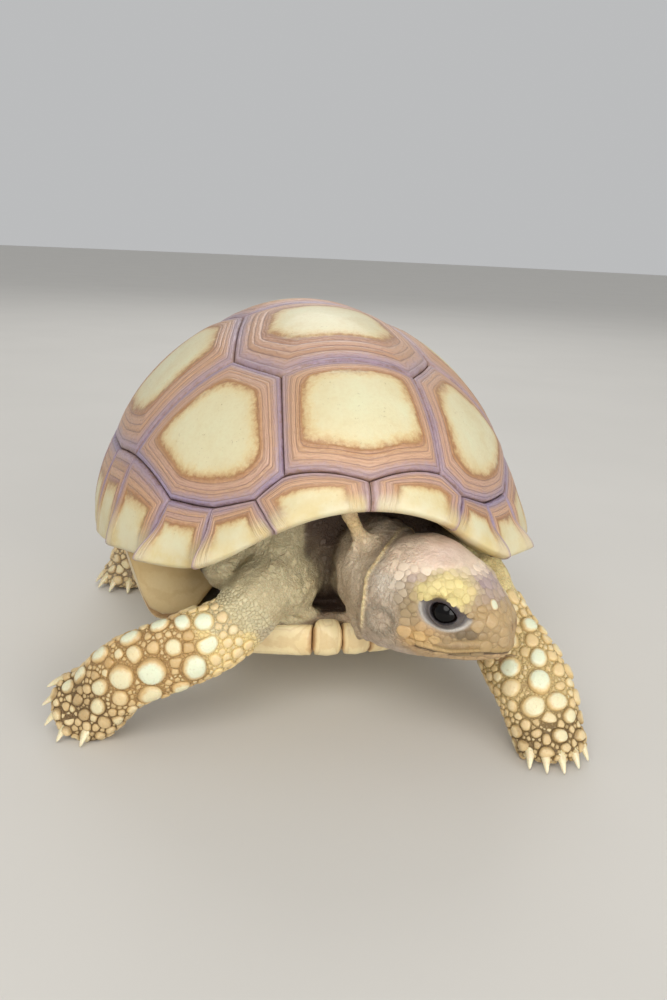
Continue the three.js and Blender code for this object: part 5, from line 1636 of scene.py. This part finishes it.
class Coat:
    """Scales of one region. A row holds a scale's centre, normal, direction lengthwise, half length, half
    width, height and paleness."""

    def __init__(self, seed, gap):
        self.rng = np.random.default_rng(seed)
        self.gap = gap
        self.rows = []

    def add_at(self, guess, out, along, long, wide, height, pale):
        """On the skin under a point that lies outward of it."""
        hit = SKIN_TREE.ray_cast(Vector(guess + out * 4), Vector(-out))
        if hit[0] is None:
            hit = SKIN_TREE.find_nearest(Vector(guess))
        normal = unit(np.array(hit[1]) * 0.5 + out * 0.5)
        along = unit(along - normal * (along @ normal))
        self.rows.append(np.concatenate([np.array(hit[0]), normal, along, [long, wide, height, pale]]))

    def fill(self, share, size_of, along_of, passes, height_of, pale_of, crowd=0.88):
        """Darts of shrinking size until the skin is covered."""
        for count, low, high in passes:
            spots, normals = scatter(self.rng, share, count)
            size = size_of(spots)
            directions = along_of(spots)
            stretch, scatter_size, pale = self.rng.random((3, count))
            for i in range(count):
                if size[i] <= 0:
                    continue
                radius = size[i] * mix(low, high, scatter_size[i])
                if self.rows:
                    rows = self.cache
                    away = rows[:, :3] - spots[i]
                    distance = np.sqrt(np.einsum("ij,ij->i", away, away))
                    close = distance < 3.2 + radius
                    if close.any():
                        other = rows[close]
                        way = away[close] / np.maximum(distance[close], 1e-6)[:, None]
                        if np.any(distance[close] < crowd * (radius + self.reach(other, way))):
                            continue
                along = unit(directions[i] - normals[i] * (directions[i] @ normals[i]))
                sizes = [radius * mix(1.0, 1.25, stretch[i]), radius, height_of(radius), pale_of(radius, pale[i])]
                self.rows.append(np.concatenate([spots[i], normals[i], along, sizes]))
                self.cache = np.array(self.rows)

    @staticmethod
    def reach(rows, way):
        """How far each scale reaches in a direction."""
        lengthwise = np.einsum("ij,ij->i", rows[:, 6:9], way)
        flat = np.einsum("ij,ij->i", rows[:, 3:6], way)
        across = np.sqrt(np.clip(1 - lengthwise ** 2 - flat ** 2, 0, 1))
        return 1 / np.sqrt((lengthwise / rows[:, 9]) ** 2 + (across / rows[:, 10]) ** 2 + 1e-9)

    def build(self, name, slot, unwrap, corner=7, spread=1.7):
        rows = np.array(self.rows)
        colours = markings(rows[:, :3])
        jitter = self.rng.uniform(0.86, 1.1, (len(rows), 1))
        colours = np.clip(colours * jitter, 0, 1)
        roots = unwrap(rows[:, :3])
        all_points, all_quads, all_tris, reach, pale, uv, tint = [], [], [], [], [], [], []
        start = 0
        for i, row in enumerate(rows):
            at, normal, along = row[:3], row[3:6], row[6:9]
            long, wide, height = row[9:12]
            side = np.cross(normal, along)
            count = 22 if long > 0.9 else (16 if long > 0.5 else 10)
            turn = circle(count)
            heading = np.cos(turn)[:, None] * along + np.sin(turn)[:, None] * side
            oval = np.sqrt((np.cos(turn) / long) ** 2 + (np.sin(turn) / wide) ** 2)
            limit = (1.3 if wide > 1.0 else spread) / oval
            inverse = (1 / limit) ** corner
            away = rows[:, :3] - at
            distance = np.sqrt(np.einsum("ij,ij->i", away, away))
            near = np.nonzero((distance < 2.2 * (long + 1.9)) & (distance > 0))[0]
            if len(near):
                way = away[near] / distance[near][:, None]
                mine = self.reach(np.repeat(row[None], len(near), 0), way)
                theirs = self.reach(rows[near], way)
                edge = np.maximum(distance[near] * mine / (mine + theirs) - self.gap / 2, 0.05)
                facing = np.clip(heading @ way.T, 0, 1)
                inverse = inverse + ((facing / edge) ** corner).sum(1)
            radius = inverse ** (-1 / corner)
            outer = at + heading * radius[:, None]
            for k in range(count):
                outer[k] = SKIN_TREE.find_nearest(Vector(outer[k]))[0]
            sag = float(np.mean((at - outer) @ normal))
            height = min(height, 0.45 * radius.min() + 0.04)
            rings = [outer - normal * 0.12]
            for share, level in PAD_RINGS[:4 if long > 0.5 else 3]:
                rings.append(at + (outer - at) * share + normal * (height * level))
            rings = np.array(rings)
            rings[1:] += normal * (max(sag, 0) * PAD_DOME[:len(rings) - 1, None, None]) * 0.35
            rings[..., 2] = np.maximum(rings[..., 2], GROUND)
            top = at + normal * (height * 1.05)
            low = at - normal * 0.14
            low[2], top[2] = max(low[2], GROUND), max(top[2], GROUND)
            all_points += [rings.reshape(-1, 3), [top], [low]]
            total = len(rings) * count
            all_quads.append(tube_faces(len(rings), count, start))
            all_tris += [fan_faces(start + total, start + total - count, count),
                         fan_faces(start + total + 1, start, count)[:, ::-1]]
            shares = np.array([1.05, *(share for share, _ in PAD_RINGS)][:len(rings)])[:, None]
            shift = self.rng.uniform(-0.22, 0.22, 2) * (long > 0.8)
            off_centre = np.hypot(shares * np.cos(turn) - shift[0], shares * np.sin(turn) - shift[1]).ravel()
            reach.append(np.append(off_centre, [np.hypot(*shift)] * 2))
            pale.append(np.full(total + 2, row[12]))
            round_patch = np.stack([np.cos(turn), np.sin(turn)], -1)
            local = (PATCH_SHARES[:len(rings), None, None] * round_patch).reshape(-1, 2)
            uv.append(roots[i] + PATCH / 2 * np.concatenate([local, [[0, 0], [0, 0]]]))
            tint.append(np.repeat(colours[i][None], total + 2, 0))
            start += total + 2
        piece = add_mesh(name, np.concatenate(all_points), np.concatenate(all_quads), np.concatenate(all_tris),
                         SCALE, {"reach": np.concatenate(reach), "pale": np.concatenate(pale)})
        add_tint(piece.data, np.concatenate(tint))
        layer = piece.data.uv_layers.new(name="OFBake")
        loops = np.empty(len(piece.data.loops), int)
        piece.data.loops.foreach_get("vertex_index", loops)
        layer.data.foreach_set("uv", np.concatenate(uv)[loops].astype(np.float32).ravel())
        return place(piece, slot)


def limb_unwrap(limb):
    def unwrap(at):
        station, turn, _ = limb.locate(at)
        last = (len(limb.path) - 1) / limb.steps
        return np.stack([0.02 + 0.96 * (turn / (2 * math.pi) + 0.5), 0.02 + 0.96 * station / last], -1)
    return unwrap


def limb_along(limb):
    def along(at):
        station = limb.locate(at)[0] * limb.steps
        return limb.along[np.clip(np.round(station).astype(int), 0, len(limb.path) - 1)]
    return along


def limb_zone(name, start, soften=0.25):
    """Share of each skin point in the scaled part of a limb, away from the ground."""
    limb = LIMBS[name]
    station, _, away = limb_place[name]
    size = limb.girth(station)
    onto = (away / size < 1.25) & (SKIN_POINTS[:, 2] > GROUND + 0.25)
    if name == "front_leg_left":
        onto &= ~near_head(SKIN_POINTS, -0.5) | (SKIN_POINTS[:, 2] < 4)
    return onto * smooth((station - start) / soften)


# Large scales of the forelegs: station, degrees round, half length, half width, paleness. Most of the rows
# were computed by another program from measured places; the last few of each list are made up.
LARGE = {
    "front_leg_right": [
        (3.83, -43, 1.1, 1.05, 1), (4.32, -29, 0.9, 1.1, 1), (4.8, -17, 1.25, 0.85, 0.95),
        (5.42, -20, 1.6, 0.85, 0.95), (6.02, -24, 1.4, 0.8, 0.9), (6.58, -26, 1.25, 0.7, 0.85),
        (7.12, -24, 1.0, 0.65, 0.8), (3.98, -88, 1.15, 1.25, 0.95), (4.43, -129, 1.35, 1.6, 1),
        (4.67, -70, 0.95, 0.98, 0.7), (5.2, -102, 1.7, 1.6, 1), (5.8, -88, 1.4, 1.5, 0.75),
        (5.4, -53, 0.92, 0.95, 0.6), (6.28, -80, 1.1, 0.95, 0.75), (6.63, -112, 1.05, 0.85, 0.7),
        (6.1, -131, 1.0, 0.85, 0.4), (5.47, -150, 1.6, 1.05, 0.7), (4.85, -159, 1.1, 0.8, 0.8),
        (4.3, -59, 0.62, 0.6, 0.1), (4.38, -81, 0.58, 0.58, 0.15), (5.02, -56, 0.7, 0.68, 0.25),
        (4.72, -104, 0.6, 0.55, 0.2), (6.24, -52, 0.5, 0.5, 0.2), (5.9, -48, 0.45, 0.5, 0.1),
        (6.98, -58, 0.8, 0.7, 0.2), (6.75, -50, 0.5, 0.4, 0.2), (6.87, -145, 0.75, 0.7, 0.3),
        (7.09, -100, 0.75, 0.6, 0.2), (3.95, -127, 0.6, 0.7, 0.4), (4.1, 20, 1.2, 1.2, 0.6),
        (4.75, 32, 1.3, 1.3, 0.6), (5.4, 38, 1.3, 1.4, 0.6), (6.0, 34, 1.2, 1.3, 0.5),
        (6.6, 36, 1.0, 1.1, 0.5), (5.1, 78, 1.1, 1.1, 0.4), (5.8, 80, 1.1, 1.1, 0.4),
        (6.4, 84, 0.9, 1.0, 0.3),
    ],
    "front_leg_left": [
        (3.4, 46, 0.95, 1.0, 1), (3.62, 98, 1.1, 0.8, 0.7), (4.21, 126, 1.15, 1.25, 1),
        (4.29, 64, 1.1, 1.12, 1), (3.81, 58, 0.8, 0.85, 0.3), (4.04, 84, 0.57, 0.6, 0.2),
        (4.86, 90, 1.3, 1.4, 1), (4.74, 146, 0.95, 1.15, 0.5), (5.38, 67, 1.05, 1.3, 0.75),
        (5.34, 126, 1.2, 1.4, 0.75), (5.75, 100, 0.75, 0.95, 0.5), (5.76, 48, 0.8, 0.85, 0.7),
        (6.32, 84, 0.78, 0.95, 0.7), (6.85, 125, 0.6, 0.9, 0.35), (4.72, 38, 0.75, 0.8, 0.35),
        (4.36, 36, 0.6, 0.6, 0.35), (5.05, 48, 0.45, 0.6, 0.3), (4.75, 8, 0.95, 1.05, 0.5),
        (6.1, 134, 0.4, 0.65, 0.3), (6.42, 35, 0.62, 0.9, 0.45), (6.78, 80, 0.5, 0.7, 0.4),
        (6.43, 162, 0.6, 0.9, 0.35), (3.6, 20, 0.65, 0.65, 0.6), (4.15, 8, 0.85, 1.0, 0.6),
        (5.35, 10, 0.9, 1.0, 0.5), (5.9, 12, 0.8, 0.9, 0.45), (6.5, 8, 0.7, 0.8, 0.4),
        (4.3, -30, 1.2, 1.2, 0.5), (5.0, -36, 1.2, 1.3, 0.5), (5.7, -38, 1.1, 1.2, 0.45),
        (6.4, -40, 0.9, 1.1, 0.4),
    ],
}
# How far beyond its stated size a large scale reaches before its neighbours stop it.
LARGE_GROW = 1.6


def pad_height(radius):
    return 0.18 + 0.27 * min(radius, 1.4)


def even(radius):
    """The same size of scale everywhere."""
    return lambda at: np.full(len(at), radius)


# Passes of darts: how many, and their smallest and largest size.
LEG_PASSES = [(3000, 1.15, 1.5), (5000, 0.8, 1.0), (8000, 0.46, 0.62), (6000, 0.32, 0.42)]
CUFF_PASSES = [(9000, 0.8, 1.0), (9000, 0.6, 0.75)]
LEG_STARTS = [("front_leg_right", 3.05), ("front_leg_left", 2.3), ("hind_leg_right", 1.5), ("hind_leg_left", 1.5)]
for seed, (name, start) in enumerate(LEG_STARTS):
    limb = LIMBS[name]
    coat = Coat(201 + seed, 0.11)
    for station, degrees, long, wide, pale in LARGE.get(name, []):
        centre, out = limb.at(station, math.radians(degrees))
        low = int(min(station * limb.steps, len(limb.path) - 1))
        reach = limb.size[low].max()
        coat.add_at(centre + out * reach, out, limb.along[low], long * LARGE_GROW, wide * LARGE_GROW,
                    0.26 + 0.26 * min(long, wide), pale)
    coat.cache = np.array(coat.rows) if coat.rows else None
    coat.fill(limb_zone(name, start), even(0.62 if name.startswith("front") else 0.85), limb_along(limb),
              LEG_PASSES, pad_height,
              lambda radius, chance: min(0.6, 0.08 + 0.25 * radius + 0.35 * chance ** 1.5), 0.78)
    if name == "front_leg_right":
        cuff = limb_zone(name, 2.5, 0.1) * (limb_place[name][0] < 3.2)
        coat.fill(cuff, even(0.27), limb_along(limb), CUFF_PASSES, lambda radius: 0.1,
                  lambda radius, chance: 0.02 + 0.05 * chance)
    coat.build("scales_" + name, "limb", limb_unwrap(limb))

# ---- Scales of the head and tail ----

def head_unwrap(at):
    h = to_head(at)
    return np.stack([0.02 + 0.96 * (np.arctan2(h[:, 1], h[:, 2]) / (2 * math.pi) + 0.5),
                     0.02 + 0.96 * np.clip(h[:, 0] / 21.5, 0, 1)], -1)


def head_size(at):
    """Radius of the scales over the head, 0 where the skin is bare."""
    h = to_head(at)
    ahead, left, above = h[:, 0], np.abs(h[:, 1]), h[:, 2]
    over = above - jaw_line(ahead)
    size = np.full(len(at), 0.5)
    size = np.where(ahead > 16.4, 0.66, size)
    size = np.where((above < -0.6) & (ahead > 7) & (ahead < 12), 0.62, size)
    size = np.where((over < 0) & (ahead > 9), 0.55, size)
    bare = (ahead < 6.8) | ((above < -3.4) & (ahead < 10.5)) | (above < -5.4) | ((above > 5.9) & (ahead < 17))
    lid, eye_high = lid_reach(h)
    bare |= (lid < mix(2.35, 1.5, smooth((eye_high - 0.1) / 0.6))) & (left > 3)
    bare |= (ahead < 8.6) & (above < 1.5)
    bare |= (over > -0.75) & (over < 2.1) & (ahead > 12) & (ahead < 17.6)
    bare |= (np.abs(over) < 0.4) & (ahead > 9)
    bare |= (nostril_distance(h) < 0.9) | (ahead > 19.4)
    return np.where(bare, 0, size)


head_zone = near_head(SKIN_POINTS) * 1.0
head_coat = Coat(301, 0.045)
for hand in (1, -1):
    for ahead, left, above, long, wide, height, pale in (
        (17.7, 2.9, 2.5, 0.75, 0.7, 0.12, 0.9), (18.0, 4.2, 0.8, 1.0, 0.95, 0.1, 0.03),
        (16.2, 1.5, 4.6, 0.95, 0.85, 0.05, 0.06), (18.5, 1.2, 2.0, 0.8, 0.9, 0.06, 0.1),
        (16.7, 5.0, 2.3, 1.0, 0.36, 0.1, 0.05), (16.8, 5.3, 1.55, 1.0, 0.33, 0.1, 0.05),
        (15.2, 4.6, 3.9, 0.7, 0.5, 0.08, 0.15),
        (8.7, 7.9, -1.5, 0.85, 0.8, 0.12, 0.12), (10.5, 7.8, -1.7, 0.85, 0.72, 0.12, 0.12),
        (12.1, 7.5, -1.9, 0.72, 0.55, 0.1, 0.08), (9.4, 7.6, -2.9, 0.7, 0.5, 0.1, 0.1),
        (15.0, 6.3, -5.0, 1.1, 0.42, 0.07, 0.12), (17.2, 5.2, -4.9, 1.0, 0.42, 0.07, 0.12),
        (12.6, 6.9, -5.0, 1.1, 0.45, 0.07, 0.12),
    ):
        out = unit(np.array([0.25 * (ahead > 17), hand * left / 8, above / 8]) @ HEAD_AXES)
        head_coat.add_at(in_head([ahead, hand * left, above]), out, AHEAD, long, wide, height, pale)
head_coat.cache = np.array(head_coat.rows)
head_coat.fill(head_zone, head_size, lambda at: np.broadcast_to(AHEAD, at.shape),
               [(2500, 1.0, 1.2), (5000, 0.7, 0.95), (9000, 0.45, 0.62)],
               lambda radius: 0.06, lambda radius, chance: 0.02 + 0.08 * chance ** 2, 0.8)
head_coat.build("scales_head", "head", head_unwrap, 8, 1.18)

tail_coat = Coat(401, 0.12)
tail_coat.fill(limb_zone("tail", 0.8), even(0.5), limb_along(LIMBS["tail"]),
               [(2500, 1.0, 1.25), (5000, 0.5, 0.8)], lambda radius: 0.14,
               lambda radius, chance: 0.2 + 0.3 * chance)
tail_coat.build("scales_tail", "limb", limb_unwrap(LIMBS["tail"]))

# ---- Camera, light and floor ----

# The camera's place and turn are the result of a least-squares fit.
VIEW_TURN = -0.224
VIEW_RISE = 0.28
VIEW_ROLL = 0.046
VIEW_DISTANCE = 148.02
VIEW_TARGET = body(5.221, -0.807, 12.421)
LENS = 32.56

back = np.array([math.sin(VIEW_TURN) * math.cos(VIEW_RISE), -math.cos(VIEW_TURN) * math.cos(VIEW_RISE),
                 math.sin(VIEW_RISE)])
level = unit(np.cross(-back, [0, 0, 1]))
raised = np.cross(back, level)
right = math.cos(VIEW_ROLL) * level + math.sin(VIEW_ROLL) * raised
upright = np.cross(back, right)
camera = bpy.data.objects.new("camera", bpy.data.cameras.new("camera"))
camera.data.lens = LENS
camera.data.clip_start = 0.005
basis = Matrix(np.column_stack([right, upright, back]).tolist()).to_4x4()
basis.translation = Vector(to_row(VIEW_TARGET + back * VIEW_DISTANCE))
camera.matrix_world = basis
bpy.context.scene.collection.objects.link(camera)
bpy.context.scene.camera = camera


def soft_light(name, at, aim, size, power, colour):
    data = bpy.data.lights.new(name, "AREA")
    data.shape = "DISK"
    data.size, data.energy, data.color = size, power, colour
    light = bpy.data.objects.new(name, data)
    light.location = at
    light.rotation_euler = (Vector(aim) - Vector(at)).to_track_quat("-Z", "Y").to_euler()
    bpy.context.scene.collection.objects.link(light)


soft_light("key", (-0.25, -0.5, 0.5), (0, 0, 0.02), 0.5, 2.45, (1, 0.97, 0.92))
soft_light("fill", (0.2, -0.65, 0.14), (0, 0, 0.015), 0.5, 3.0, (1, 0.98, 0.95))
soft_light("rim", (0.1, 0.5, 0.5), (0, 0, 0.03), 0.4, 0.9, (1, 1, 1))

world = bpy.data.worlds.new("studio")
world.use_nodes = True
world.node_tree.nodes["Background"].inputs["Color"].default_value = (0.86, 0.87, 0.88, 1)
world.node_tree.nodes["Background"].inputs["Strength"].default_value = 0.58
bpy.context.scene.world = world
bpy.context.scene.view_settings.view_transform = "Standard"

floor_shader = Shader("floor", 0.7)
floor_material = floor_shader.finish(floor_shader.blend(floor_shader.noise(0.02, 2), "cfccc6", "d6d3cd"))
bpy.ops.mesh.primitive_circle_add(vertices=96, radius=3, fill_type="NGON")
floor = bpy.context.object
floor.name = "floor"
floor.data.materials.append(floor_material)
